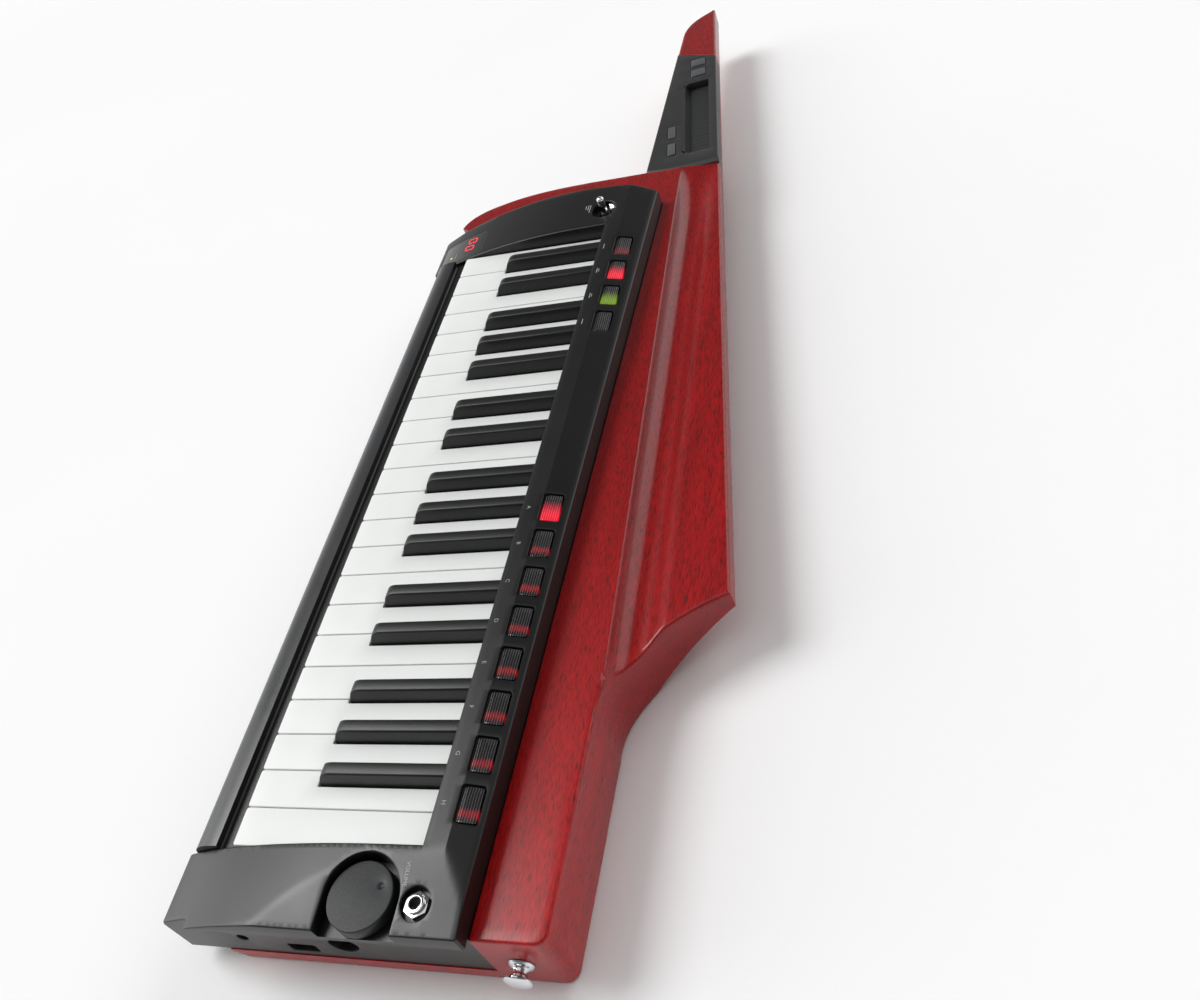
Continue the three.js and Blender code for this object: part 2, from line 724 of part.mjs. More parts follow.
const cap = buttonCap();
function addStripButton(name, x, material) {
  const button = addPiece(root, name, cap, material);
  button.position.set(x, capY, capTopZ);
  button.rotation.set(facetTilt, 0, 0);
}
functionPlaces().forEach((x, index) => addStripButton(`function_button_${index + 1}`, x, lens));
programPlaces().forEach((x, index) => addStripButton(`program_button_${index + 1}`, x, lens));

// Dial, turning on a spindle in its pocket
function dialSolid() {
  const spindleEnd = -dialThickness - spindleLength;
  const profile = [
    [0, spindleEnd], [spindleRadius, spindleEnd],
    [spindleRadius, -dialThickness], [dialRadius, -dialThickness],
    [dialRadius, -dialEdgeRound], [dialRadius - dialEdgeRound, 0], [0, 0],
  ];
  const dimple = discSolid(dialDimpleRadius, -dialDimpleDepth, overrun, smallRoundSteps)
    .translate([0, dialRadius - 2 * dialDimpleRadius, 0]);
  return turnedSolid(profile, roundSteps * 2).subtract(dimple);
}
addPiece(root, "volume_dial", dialSolid(), black).position.set(dialX, dialY, dialTopZ);

// Octave lever: a short rod on a ball
function leverSolid() {
  const lowStep = leverBallRadius * leverBallShares.low;
  const tip = leverHeight + leverPivotDepth;
  return turnedSolid([
    [0, -leverBallRadius], [lowStep, -lowStep], [leverBallRadius, 0],
    [leverBallRadius * leverBallShares.shoulder, leverBallRadius * leverBallShares.shoulderRise],
    [leverRadius, leverBallRadius], [leverRadius, tip - leverRadius / 3],
    [leverRadius * leverBallShares.low, tip], [0, tip],
  ], smallRoundSteps);
}
addPiece(root, "octave_lever", leverSolid(), chrome)
  .position.set(leverX, leverY, leverTopZ - leverPivotDepth - seatGap);

// Key chassis with the front rail, the ledge before the keys and the hinge bar
function chassisSolid() {
  const lowX = -keyWindowGap + seatGap;
  const highX = keysEndX + keyWindowGap - keyGap - seatGap;
  const railBend = bezier(
    [railInnerY, railTopZ], [railFrontY * railShares.lead, railTopZ],
    [railFrontY, panelFrontZ * railShares.rise], [railFrontY, panelFrontZ]);
  const rearY = hingeBlockFrontY + 2 * keyHingeRadius + chassisThickness;
  const barLow = -keyHingeDrop - keyHingeRadius;
  const bar = new THREE.EllipseCurve(keyHingeY, -keyHingeDrop, keyHingeRadius, keyHingeRadius,
    0, Math.PI, false);
  const floorTop = chassisFloorZ + chassisThickness;
  const section = [
    [railFrontY, chassisFloorZ],
    [rearY, chassisFloorZ],
    [rearY, barLow - chassisThickness],
    [keyHingeY + keyHingeRadius, barLow - chassisThickness],
    [keyHingeY + keyHingeRadius, -keyHingeDrop],
    ...curvePoints(bar, bigSteps),
    [keyHingeY - keyHingeRadius, barLow - chassisThickness],
    [hingeBlockFrontY, barLow - chassisThickness],
    [hingeBlockFrontY, floorTop],
    [stopRailY + stopRailWidth, floorTop],
    [stopRailY + stopRailWidth, stopRailTopZ],
    [stopRailY, stopRailTopZ],
    [stopRailY, floorTop],
    [railInnerY, floorTop],
    [railInnerY, ledgeZ - railWall],
    [ledgeInnerY, ledgeZ - railWall],
    [ledgeInnerY, ledgeZ],
    [railInnerY, ledgeZ],
    [railInnerY, railTopZ],
    ...curvePoints(railBend, bigSteps),
  ];
  return sectionSolid(section, lowX, highX);
}
addPiece(root, "key_chassis", chassisSolid(), black);

// Keyboard layout: black keys stand at these boundaries of each group of seven white keys
const octave = 7;
const blackBoundaries = new Map([
  [1, -blackSpread], [2, blackSpread], [4, -blackWideSpread], [5, 0], [6, blackWideSpread],
]);

function blackCentre(boundary) {
  const shift = blackBoundaries.get(boundary % octave);
  if (shift === undefined || boundary <= 0 || boundary >= whiteCount) return undefined;
  return boundary * keyPitch + shift;
}

// One white key in its own frame: its left edge at X 0 and the hinge at the key's rear
function whiteKeySolid(index) {
  const low = keyGap / 2;
  const high = keyPitch - keyGap / 2;
  const radius = whiteCornerRadius;
  const ease = radius * cornerEaseShare;
  const edgeEase = whiteEdgeRound * cornerEaseShare;
  const rearY = keyHingeY + keyHeelLength;
  const plan = [
    [low, radius], [low + ease, ease], [low + radius, 0],
    [high - radius, 0], [high - ease, ease], [high, radius],
    [high, rearY], [low, rearY],
  ];
  const underTop = -whiteTopThickness;
  const groove = new THREE.EllipseCurve(keyHingeY, -keyHingeDrop, keyHingeRadius + seatGap,
    keyHingeRadius + seatGap, Math.PI, 0, true);
  const side = [
    [0, -whiteLipDepth], [whiteLipThickness, -whiteLipDepth], [whiteLipThickness, underTop],
    [keyHingeY - keyHeelRun, underTop],
    [keyHingeY - keyHingeRadius - whiteTopThickness, -keyHeelDepth],
    [keyHingeY - keyHingeRadius - seatGap, -keyHeelDepth],
    [keyHingeY - keyHingeRadius - seatGap, -keyHingeDrop],
    ...curvePoints(groove, grooveSteps),
    [keyHingeY + keyHingeRadius + seatGap, -keyHeelDepth],
    [rearY, -keyHeelDepth],
    [rearY, 0],
    [whiteEdgeRound, 0], [edgeEase, -edgeEase], [0, -whiteEdgeRound],
  ];
  let key = planSolid(plan, -whiteLipDepth - overrun, overrun)
    .intersect(sectionSolid(side, 0, keyPitch));
  for (const boundary of [index, index + 1]) {
    const centre = blackCentre(boundary);
    if (centre === undefined) continue;
    const local = centre - index * keyPitch;
    const half = blackWidthBase / 2 + notchGap;
    key = key.subtract(boxSolid(local - half, local + half, blackFrontY - notchFrontGap, rearY + overrun,
      -keyHeelDepth - overrun, overrun));
  }
  return key;
}

// One black key, centred on X 0, with a sloping nose and leaning sides
function blackKeySolid() {
  const rearY = keyHingeY + keyHeelLength;
  const halfBase = blackWidthBase / 2;
  const halfTop = blackWidthTop / 2;
  const round = blackShoulderRound;
  const halfShoulder = halfTop + (halfBase - halfTop) * round / blackHeight;
  const bar = sideSolid([
    [-halfBase, -blackSkirtDepth - overrun], [halfBase, -blackSkirtDepth - overrun], [halfBase, 0],
    [halfShoulder, blackHeight - round],
    [halfTop - round / 2, blackHeight], [round / 2 - halfTop, blackHeight],
    [-halfShoulder, blackHeight - round],
    [-halfBase, 0],
  ], blackFrontY - overrun, rearY + overrun);
  const noseTopY = blackFrontY + blackNoseRun * blackNoseShares.top;
  const nose = bezier(
    [noseTopY, blackHeight], [blackFrontY + blackNoseRun, blackHeight],
    [blackFrontY + blackNoseRun * blackNoseShares.bend, blackHeight * blackNoseShares.bendHeight],
    [blackFrontY + blackNoseRun * blackNoseShares.low, blackHeight * blackNoseShares.lowHeight]);
  const groove = new THREE.EllipseCurve(keyHingeY, -keyHingeDrop, keyHingeRadius + seatGap,
    keyHingeRadius + seatGap, Math.PI, 0, true);
  const side = [
    [blackFrontY, 0], [blackFrontY, -blackSkirtDepth],
    [keyHingeY - keyHeelRun, -blackSkirtDepth],
    [keyHingeY - keyHingeRadius - whiteTopThickness, -keyHeelDepth],
    [keyHingeY - keyHingeRadius - seatGap, -keyHeelDepth],
    [keyHingeY - keyHingeRadius - seatGap, -keyHingeDrop],
    ...curvePoints(groove, grooveSteps),
    [keyHingeY + keyHingeRadius + seatGap, -keyHeelDepth],
    [rearY, -keyHeelDepth], [rearY, blackHeight],
    [noseTopY, blackHeight],
    ...curvePoints(nose, grooveSteps),
  ];
  return bar.intersect(sectionSolid(side, -halfBase, halfBase));
}

for (let index = 0; index < whiteCount; index += 1) {
  const key = addPiece(root, `white_key_${index + 1}`, whiteKeySolid(index), white);
  key.position.set(index * keyPitch, 0, 0);
}

const blackKey = blackKeySolid();
let blackNumber = 0;
for (let boundary = 1; boundary < whiteCount; boundary += 1) {
  const centre = blackCentre(boundary);
  if (centre === undefined) continue;
  blackNumber += 1;
  addPiece(root, `black_key_${blackNumber}`, blackKey, ebony).position.set(centre, 0, 0);
}

// Neck panel, its ribbon recess and its four caps, laid out along the neck's outer edge
const tipCap = { length: tipCapLength, width: tipCapWidth };
const heelCap = { length: heelCapLength, width: heelCapWidth };
const neckCaps = [0, 1].map((step) => ({
  ...tipCap, x: tipCapX + step * tipCapStep, y: neckPlayerY + tipCapInset + step * tipCapRise,
})).concat([0, 1].map((step) => ({
  ...heelCap, x: heelCapX + step * heelCapStep, y: neckPlayerY + heelCapInset + step * heelCapRise,
})));

function neckPanelSolid() {
  const lowZ = neckTopZ - neckPanelThickness;
  let panel = planSolid(neckPanelQuad(0), lowZ, neckTopZ)
    .intersect(planSolid(woodOutline(), bodyBaseZ, overrun));
  const bendX = neckPanelEndX - neckPanelEndBevel;
  const bendFall = neckPanelEndDrop / neckPanelEndBevel;
  panel = panel.subtract(sideSolid([
    [bendX, neckTopZ], [neckPanelEndX + overrun, neckTopZ - neckPanelEndDrop - overrun * bendFall],
    [neckPanelEndX + overrun, neckTopZ + overrun], [bendX, neckTopZ + overrun],
  ], neckPlayerY - overrun, outerEdgeY(neckPanelEndX) + overrun));
  const slantRise = 1 + seatGap / ribbonDepth;
  const ribbon = planSolid(roundedRectangle(ribbonLength, ribbonWidth, neckCapCorner),
    neckTopZ - ribbonDepth, neckTopZ + overrun)
    .subtract(sectionSolid([
      [-ribbonWidth / 2 - overrun, neckTopZ - ribbonDepth - overrun],
      [ribbonSlant - ribbonWidth / 2, neckTopZ - ribbonDepth - overrun],
      [ribbonSlant - ribbonWidth / 2, neckTopZ - ribbonDepth],
      [ribbonSlant - ribbonWidth / 2 - ribbonSlant * slantRise, neckTopZ - ribbonDepth * (1 - slantRise)],
      [-ribbonWidth / 2 - overrun, neckTopZ - ribbonDepth * (1 - slantRise)],
    ], -ribbonLength, ribbonLength))
    .rotate([0, 0, THREE.MathUtils.radToDeg(neckAngle)])
    .translate([ribbonMidX, ribbonMidY, 0]);
  panel = panel.subtract(ribbon);
  for (const place of neckCaps) {
    panel = panel.subtract(planSolid(
      roundedRectangle(place.length + 2 * seatGap, place.width + 2 * seatGap, neckCapCorner),
      neckTopZ - neckCapBody - capTravelRoom, neckTopZ + overrun)
      .rotate([0, 0, THREE.MathUtils.radToDeg(neckAngle)])
      .translate([place.x, place.y, 0]));
  }
  return panel;
}
addPiece(root, "neck_panel", neckPanelSolid(), black);

neckCaps.forEach((place, index) => {
  const capSolid = planSolid(roundedRectangle(place.length, place.width, neckCapCorner),
    -neckCapBody, neckCapProud);
  const button = addPiece(root, `neck_button_${index + 1}`, capSolid, greyCap);
  button.position.set(place.x, place.y, neckTopZ);
  button.rotation.set(0, 0, neckAngle);
});

// The part's own frame: the back lies at Z 0, with the origin under the middle of its box
const tailPinEndX = tailX + seatGap + pinLength;
root.position.set(-(neckTipX + tailPinEndX) / 2, -(panelFrontY + wingTipY) / 2, -bodyBaseZ);

export default root;
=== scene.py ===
"""A shoulder-worn keyboard with a stained wooden body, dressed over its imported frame.

Sizes are millimetres in the keyboard's own frame: X runs from the neck to the tail, Y from
the player to the wing and Z up, from the front left top corner of the lowest white key.
"""
from __future__ import annotations

import json
import logging
import math
from dataclasses import dataclass, field
from enum import Enum
from typing import Callable, Sequence

import bmesh
import bpy
import numpy as np
from mathutils import Matrix, Vector
from mathutils.geometry import delaunay_2d_cdt

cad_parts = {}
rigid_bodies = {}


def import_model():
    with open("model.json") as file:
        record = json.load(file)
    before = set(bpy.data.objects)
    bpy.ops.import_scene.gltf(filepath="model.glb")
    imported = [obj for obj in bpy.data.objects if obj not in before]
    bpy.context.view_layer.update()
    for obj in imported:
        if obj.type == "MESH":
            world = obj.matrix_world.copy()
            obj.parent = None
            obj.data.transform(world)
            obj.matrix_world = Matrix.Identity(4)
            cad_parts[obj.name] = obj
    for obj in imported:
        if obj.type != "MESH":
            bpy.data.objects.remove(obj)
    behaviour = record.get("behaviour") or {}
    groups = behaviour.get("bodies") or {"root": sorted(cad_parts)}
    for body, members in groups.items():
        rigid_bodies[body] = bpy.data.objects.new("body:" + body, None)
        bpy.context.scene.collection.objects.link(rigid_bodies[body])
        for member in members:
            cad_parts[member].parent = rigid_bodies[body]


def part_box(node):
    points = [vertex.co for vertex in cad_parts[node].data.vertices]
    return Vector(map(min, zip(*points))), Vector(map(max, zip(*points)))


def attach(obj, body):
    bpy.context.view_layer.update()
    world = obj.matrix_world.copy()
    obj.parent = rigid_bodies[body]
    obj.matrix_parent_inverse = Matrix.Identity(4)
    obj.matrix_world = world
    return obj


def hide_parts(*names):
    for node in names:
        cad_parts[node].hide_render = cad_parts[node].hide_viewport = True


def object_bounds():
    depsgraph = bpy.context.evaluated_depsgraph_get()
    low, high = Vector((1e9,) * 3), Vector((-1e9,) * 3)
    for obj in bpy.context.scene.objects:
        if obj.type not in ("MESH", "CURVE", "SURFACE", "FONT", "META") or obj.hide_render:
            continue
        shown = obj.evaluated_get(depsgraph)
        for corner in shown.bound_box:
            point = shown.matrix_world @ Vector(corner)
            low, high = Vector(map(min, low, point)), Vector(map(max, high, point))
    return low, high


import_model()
CAD_BOX = [[float(value) for value in corner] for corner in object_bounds()]
LOG = logging.getLogger("keyboard")
MM = 0.001  # in metres
METRE = 1000.0  # in millimetres
WELD = 0.002  # points nearer than this become one
SLIVER = 0.02  # edges shorter than this are dissolved
NEAR_QUARTER = 1.5707  # just short of a quarter turn, in radians
CHASSIS = "chassis"

# Lines that neighbouring pieces share: the strip's crease as Y and Z, the fall of its outer
# facet, the row and the size of its caps, and the panel's curved side in plan.
CREASE = (126.6, 11.6)
FACET_SLOPE = 5.0 / 19.4
CAP_ROW = 132.0
CAP_SIZE = (17.9, 10.1)
PANEL_SIDE = ((-38.0, 146.0), (-56.9, 99.3), (-47.0, 29.2), (-40.0, -26.0))

Height = Callable[[np.ndarray, np.ndarray], np.ndarray]


def key_datum() -> np.ndarray:
    """Find the front left top corner of the lowest white key, in metres."""
    low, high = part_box("white_key_1")
    return np.array([low[0] - 0.3 * MM, low[1], high[2]])


DATUM = key_datum()


# ---------------------------------------------------------------- outlines in plan

def bezier(points: Sequence[Sequence[float]], steps: int = 24) -> np.ndarray:
    """Sample a cubic curve: the four points weighted by the Bernstein polynomials of t.

    Args:
        points: start, two handles and end.
        steps: number of stretches.
    Returns:
        An array of steps + 1 points.
    """
    t = np.linspace(0.0, 1.0, steps + 1)[:, None]
    a, b, c, d = (np.asarray(point, dtype=float) for point in points)
    return (1 - t) ** 3 * a + 3 * (1 - t) ** 2 * t * b + 3 * (1 - t) * t ** 2 * c + t ** 3 * d


def filleted(corners: Sequence[Sequence[float]], radii: Sequence[float] | float,
             steps: int = 6) -> np.ndarray:
    """Round the corners of a polygon with arcs that touch both of a corner's sides.

    The arc's centre lies on the bisector at radius over the sine of half the angle, and the
    arc's points turn evenly from one touching point to the other.

    Args:
        corners: polygon corners, anticlockwise.
        radii: one radius, or one for each corner.
        steps: stretches in each arc.
    Returns:
        The rounded loop, without doubled points.
    """
    c = np.asarray(corners, dtype=float)
    r = np.broadcast_to(np.asarray(radii, dtype=float), (len(c),))
    back = np.roll(c, 1, axis=0) - c
    fore = np.roll(c, -1, axis=0) - c
    back /= np.linalg.norm(back, axis=1, keepdims=True)
    fore /= np.linalg.norm(fore, axis=1, keepdims=True)
    half = np.arccos(np.clip((back * fore).sum(axis=1), -1, 1)) / 2
    bisector = back + fore
    bisector /= np.maximum(np.linalg.norm(bisector, axis=1, keepdims=True), 1e-9)
    centre = c + bisector * (r / np.sin(half))[:, None]
    start = c + back * (r / np.tan(half))[:, None] - centre
    end = c + fore * (r / np.tan(half))[:, None] - centre
    sweep = math.pi - 2 * half
    t = np.linspace(0.0, 1.0, steps + 1)[None, :]
    base = np.maximum(np.sin(sweep), 1e-9)[:, None]
    first = np.sin((1 - t) * sweep[:, None]) / base
    second = np.sin(t * sweep[:, None]) / base
    arcs = centre[:, None] + first[..., None] * start[:, None] + second[..., None] * end[:, None]
    return distinct(arcs.reshape(-1, 2))


def distinct(loop: np.ndarray, least: float = 1e-3) -> np.ndarray:
    """Drop each point of a closed loop that lies on the one before it."""
    step = np.linalg.norm(loop - np.roll(loop, 1, axis=0), axis=1)
    return loop[step > least]


def divided(loop: np.ndarray, values: np.ndarray,
            spacing: float) -> tuple[np.ndarray, np.ndarray]:
    """Divide each side of a loop evenly; each stretch keeps the value of its side.

    Args:
        loop: the loop's corners.
        values: a value for the side that starts at each corner.
        spacing: greatest length of a stretch.
    Returns:
        The divided loop and its values.
    """
    sides = np.roll(loop, -1, axis=0) - loop
    counts = np.maximum(1, np.ceil(np.linalg.norm(sides, axis=1) / spacing).astype(int))
    index = np.repeat(np.arange(len(loop)), counts)
    offset = np.arange(len(index)) - np.repeat(np.cumsum(counts) - counts, counts)
    return loop[index] + sides[index] * (offset / counts[index])[:, None], values[index]


def densify(loop: np.ndarray, spacing: float) -> np.ndarray:
    """Divide each side of a loop evenly into stretches no longer than the spacing."""
    return divided(loop, loop, spacing)[0]


def inset(loop: np.ndarray, run: np.ndarray) -> np.ndarray:
    """Move each side of an anticlockwise loop inwards by its own distance.

    Each new corner is where its two moved sides cross; where they are nearly in line, the
    corner moves along their mean normal by their mean distance.

    Args:
        loop: the loop's corners.
        run: distance for the side that starts at each corner; negative moves it outwards.
    Returns:
        The moved corners.
    """
    side = np.roll(loop, -1, axis=0) - loop
    side /= np.maximum(np.linalg.norm(side, axis=1, keepdims=True), 1e-12)
    normal = np.stack([-side[:, 1], side[:, 0]], axis=1)
    before, run_before = np.roll(normal, 1, axis=0), np.roll(run, 1)
    det = before[:, 0] * normal[:, 1] - before[:, 1] * normal[:, 0]
    flat = np.abs(det) < 0.12
    safe = np.where(flat, 1.0, det)
    cross = np.stack([(normal[:, 1] * run_before - before[:, 1] * run) / safe,
                      (before[:, 0] * run - normal[:, 0] * run_before) / safe], axis=1)
    mean = (before + normal) / 2 * ((run + run_before) / 2)[:, None]
    return loop + np.where(flat[:, None], mean, cross)


def contains(points: np.ndarray, loop: np.ndarray) -> np.ndarray:
    """Tell which points lie inside a loop, by counting the sides that a ray crosses."""
    a, b = loop, np.roll(loop, -1, axis=0)
    result = np.zeros(len(points), dtype=bool)
    for first in range(0, len(points), 4000):
        part = points[first:first + 4000]
        x, y = part[:, :1], part[:, 1:]
        spans = (a[:, 1] > y) != (b[:, 1] > y)
        rise = np.where(b[:, 1] == a[:, 1], 1e-12, b[:, 1] - a[:, 1])
        crossing = (b[:, 0] - a[:, 0]) * (y - a[:, 1]) / rise + a[:, 0]
        result[first:first + 4000] = (spans & (x < crossing)).sum(axis=1) % 2 == 1
    return result


def clear_of(points: np.ndarray, loop: np.ndarray, least: float) -> np.ndarray:
    """Tell which points are further than a least distance from every side of a loop."""
    a, side = loop, np.roll(loop, -1, axis=0) - loop
    square = np.maximum((side ** 2).sum(axis=1), 1e-12)
    result = np.ones(len(points), dtype=bool)
    for first in range(0, len(points), 2000):
        part = points[first:first + 2000]
        delta = part[:, None] - a[None]
        t = np.clip((delta * side[None]).sum(axis=2) / square, 0, 1)
        gap = np.linalg.norm(delta - t[..., None] * side[None], axis=2)
        result[first:first + 2000] = gap.min(axis=1) > least
    return result


def lattice(xs: np.ndarray, ys: np.ndarray) -> np.ndarray:
    """Lay points at every crossing of two sets of lines."""
    grid = np.meshgrid(xs, ys, indexing="ij")
    return np.stack([axis.ravel() for axis in grid], axis=1)


def level(z: float) -> Height:
    """Give a flat height."""
    return lambda x, y: np.full(np.shape(x), z, dtype=float)


def facet_height(y: np.ndarray | float) -> np.ndarray | float:
    """Give the height of the strip's outer facet, a straight fall from its crease."""
    return CREASE[1] - (y - CREASE[0]) * FACET_SLOPE


def rounded_box(length: float, width: float, radius: float, steps: int = 5) -> np.ndarray:
    """Outline a rectangle with round corners, centred on the origin."""
    l, w = length / 2, width / 2
    return filleted([(-l, -w), (l, -w), (l, w), (-l, w)], radius, steps)


def full_turn(steps: int) -> np.ndarray:
    """Give the angles of even steps round a circle."""
    return np.linspace(0, 2 * math.pi, steps, endpoint=False)


def circle(x: float, y: float, radius: float, steps: int = 48) -> np.ndarray:
    """Outline a circle, anticlockwise."""
    turn = full_turn(steps)
    return np.stack([x + radius * np.cos(turn), y + radius * np.sin(turn)], axis=1)


# ---------------------------------------------------------------- surfaces

class Shell:
    """The points and faces of one closed surface, in millimetres."""

    def __init__(self) -> None:
        """Start with nothing in the shell."""
        self.points: list[np.ndarray] = []
        self.faces: list[list[int]] = []
        self.count = 0

    def add(self, points: np.ndarray, faces: np.ndarray) -> None:
        """Add points and the faces that join them."""
        self.points.append(np.asarray(points, dtype=float))
        self.faces.extend((np.asarray(faces) + self.count).tolist())
        self.count += len(points)

    def band(self, low: np.ndarray, high: np.ndarray) -> None:
        """Join two closed rings of equal count with a band of quads."""
        n = len(low)
        i = np.arange(n)
        j = (i + 1) % n
        self.add(np.vstack([low, high]), np.stack([i, j, j + n, i + n], axis=1))

    def grid(self, points: np.ndarray, wrap: bool = False, caps: bool = False) -> None:
        """Join rows of points into quads.

        Args:
            points: array of rows, columns and coordinates.
            wrap: whether the last column joins the first.
            caps: whether the first and last rows are closed with flat faces.
        """
        rows, columns = points.shape[:2]
        i = np.arange(rows - 1)[:, None]
        j = np.arange(columns if wrap else columns - 1)[None]
        k = (j + 1) % columns
        quads = np.stack([i * columns + j, i * columns + k,
                          (i + 1) * columns + k, (i + 1) * columns + j], axis=-1)
        self.add(points.reshape(-1, 3), quads.reshape(-1, 4))
        if caps:
            ring = np.arange(columns)
            self.add(points[0], ring[None, ::-1])
            self.add(points[-1], ring[None])

    def sheet(self, loop: np.ndarray, holes: Sequence[np.ndarray], inner: np.ndarray,
              height: Height, clear: float = 0.25) -> None:
        """Fill a loop with triangles that pass through inner points, leaving out the holes.

        Slivers outside a straight side, which rounding leaves, are dropped.

        Args:
            loop: outer loop.
            holes: loops that are left open.
            inner: points of the filling.
            height: gives Z at a place in plan.
            clear: least distance of an inner point from a loop.
        """
        rings = [loop, *holes]
        if len(inner):
            keep = contains(inner, loop)
            for ring in rings:
                keep[keep] &= clear_of(inner[keep], ring, clear)
            for hole in holes:
                keep[keep] &= ~contains(inner[keep], hole)
            inner = inner[keep]
        points = np.vstack([*rings, inner.reshape(-1, 2)])
        edges: list[tuple[int, int]] = []
        start = 0
        for ring in rings:
            index = np.arange(len(ring))
            edges += list(zip((start + index).tolist(),
                              (start + (index + 1) % len(ring)).tolist()))
            start += len(ring)
        found = delaunay_2d_cdt([Vector(p) for p in points.tolist()], edges, [], 0, 1e-5, True)
        plan = np.array([tuple(v) for v in found[0]])
        source = np.array([ids[0] if ids else -1 for ids in found[3]])
        known = source >= 0
        plan[known] = points[source[known]]
        faces = np.array(found[2])
        middle = plan[faces].mean(axis=1)
        sides = np.roll(plan[faces], -1, axis=1) - plan[faces]
        area = np.abs(sides[:, 0, 0] * sides[:, 1, 1] - sides[:, 0, 1] * sides[:, 1, 0])
        keep = contains(middle, loop) & (area > 2e-4 * np.linalg.norm(sides, axis=2).max(axis=1))
        for hole in holes:
            keep &= ~contains(middle, hole)
        self.add(np.column_stack([plan, height(plan[:, 0], plan[:, 1])]), faces[keep])

    def moved(self, change: Callable[[np.ndarray], np.ndarray]) -> "Shell":
        """Return a copy whose points are changed as one array."""
        copy = Shell()
        copy.points = [change(np.vstack(self.points))]
        copy.faces = [list(face) for face in self.faces]
        copy.count = self.count
        return copy


def raised(loop: np.ndarray, height: Height, drop: np.ndarray | float = 0.0) -> np.ndarray:
    """Lift a loop in plan to a height, less a drop."""
    return np.column_stack([loop, height(loop[:, 0], loop[:, 1]) - drop])


@dataclass
class Pocket:
    """A recess: its foot in plan, its floor, the round of its mouth and its wall's slant."""

    foot: np.ndarray
    floor: Height
    lip: float = 0.4
    flare: np.ndarray | float = 0.0
    nested: list["Pocket"] = field(default_factory=list)
    inner: np.ndarray = field(default_factory=lambda: np.zeros((0, 2)))

    def carve(self, shell: Shell, top: Height) -> np.ndarray:
        """Build the mouth, wall and floor.

        The mouth is a quarter round: out by the lip less its sine, down by the lip less its
        cosine. The wall joins it to the foot, and nested recesses open in the floor.

        Args:
            shell: takes the faces.
            top: height of the surface around the recess.
        Returns:
            The loop at which the recess meets that surface.
        """
        flare = np.broadcast_to(np.asarray(self.flare, dtype=float), (len(self.foot),))
        turns = np.linspace(0, math.pi / 2, 4 if self.lip else 1)
        rings = [raised(inset(self.foot, -(flare + self.lip * (1 - math.sin(turn)))), top,
                        self.lip * (1 - math.cos(turn))) for turn in turns]
        for outer, nearer in zip(rings[:-1], rings[1:]):
            shell.band(nearer, outer)
        shell.band(raised(self.foot, self.floor), rings[-1])
        mouths = [pocket.carve(shell, self.floor) for pocket in self.nested]
        shell.sheet(self.foot, mouths, self.inner, self.floor)
        return rings[0][:, :2]


@dataclass
class Edge:
    """A rounded edge all round a form: how far it runs in and how far it falls, by side."""

    run: np.ndarray | float = 0.0
    fall: np.ndarray | float | None = None
    steps: int = 4

    def rings(self, loop: np.ndarray) -> list[tuple[np.ndarray, np.ndarray]]:
        """Give the rings of the round, from the wall inwards.

        A ring at turn t runs in by one less its cosine and stands down by one less its sine.
        """
        run = np.broadcast_to(np.asarray(self.run, dtype=float), (len(loop),))
        fall = run if self.fall is None else np.broadcast_to(
            np.asarray(self.fall, dtype=float), (len(loop),))
        fall = np.maximum(fall, np.roll(fall, 1))
        if not run.any():
            return [(loop, np.zeros(len(loop)))]
        turns = np.linspace(0, math.pi / 2, self.steps + 1)
        return [(inset(loop, run * (1 - math.cos(t))), fall * (1 - math.sin(t))) for t in turns]


def plan_form(outline: np.ndarray, top: Height, bottom: Height, *, upper: Edge = Edge(),
              lower: Edge = Edge(), pockets: Sequence[Pocket] = (),
              inner: np.ndarray = np.zeros((0, 2)),
              inner_low: np.ndarray = np.zeros((0, 2))) -> Shell:
    """Build a closed form between two height fields over an outline.

    Args:
        outline: anticlockwise loop.
        top, bottom: heights of the two faces over a place in plan.
        upper, lower: rounds of the upper and the lower edge.
        pockets: recesses in the top.
        inner, inner_low: points that the faces pass through.
    Returns:
        The closed shell.
    """
    shell = Shell()
    high, low = upper.rings(outline), lower.rings(outline)
    walls = [raised(loop, bottom, -drop) for loop, drop in reversed(low)]
    walls += [raised(loop, top, drop) for loop, drop in high]
    for under, over in zip(walls[:-1], walls[1:]):
        shell.band(under, over)
    mouths = [pocket.carve(shell, top) for pocket in pockets]
    shell.sheet(high[-1][0], mouths, inner, top)
    shell.sheet(low[-1][0], [], inner_low, bottom)
    return shell


def gridded(points: np.ndarray, caps: bool = False) -> Shell:
    """Make a shell of rows of points, each row closed on itself."""
    shell = Shell()
    shell.grid(points, wrap=True, caps=caps)
    return shell


def revolved(section: Sequence[Sequence[float]], turn: np.ndarray) -> np.ndarray:
    """Carry each point of radius and height round Z: a row for each point, by angle."""
    line = np.asarray(section, dtype=float)
    radius = line[:, :1]
    return np.stack([radius * np.cos(turn), radius * np.sin(turn),
                     np.broadcast_to(line[:, 1:], (len(line), len(turn)))], axis=-1)


def turned(profile: Sequence[Sequence[float]], steps: int = 64) -> Shell:
    """Turn a profile that starts and ends on the axis about Z, into a solid form."""
    return gridded(revolved(profile, full_turn(steps)))


def hoop(section: Sequence[Sequence[float]], steps: int = 32) -> Shell:
    """Turn a closed section about Z, into a ring with an open bore."""
    points = revolved(section, full_turn(steps))
    return gridded(np.vstack([points, points[:1]]))


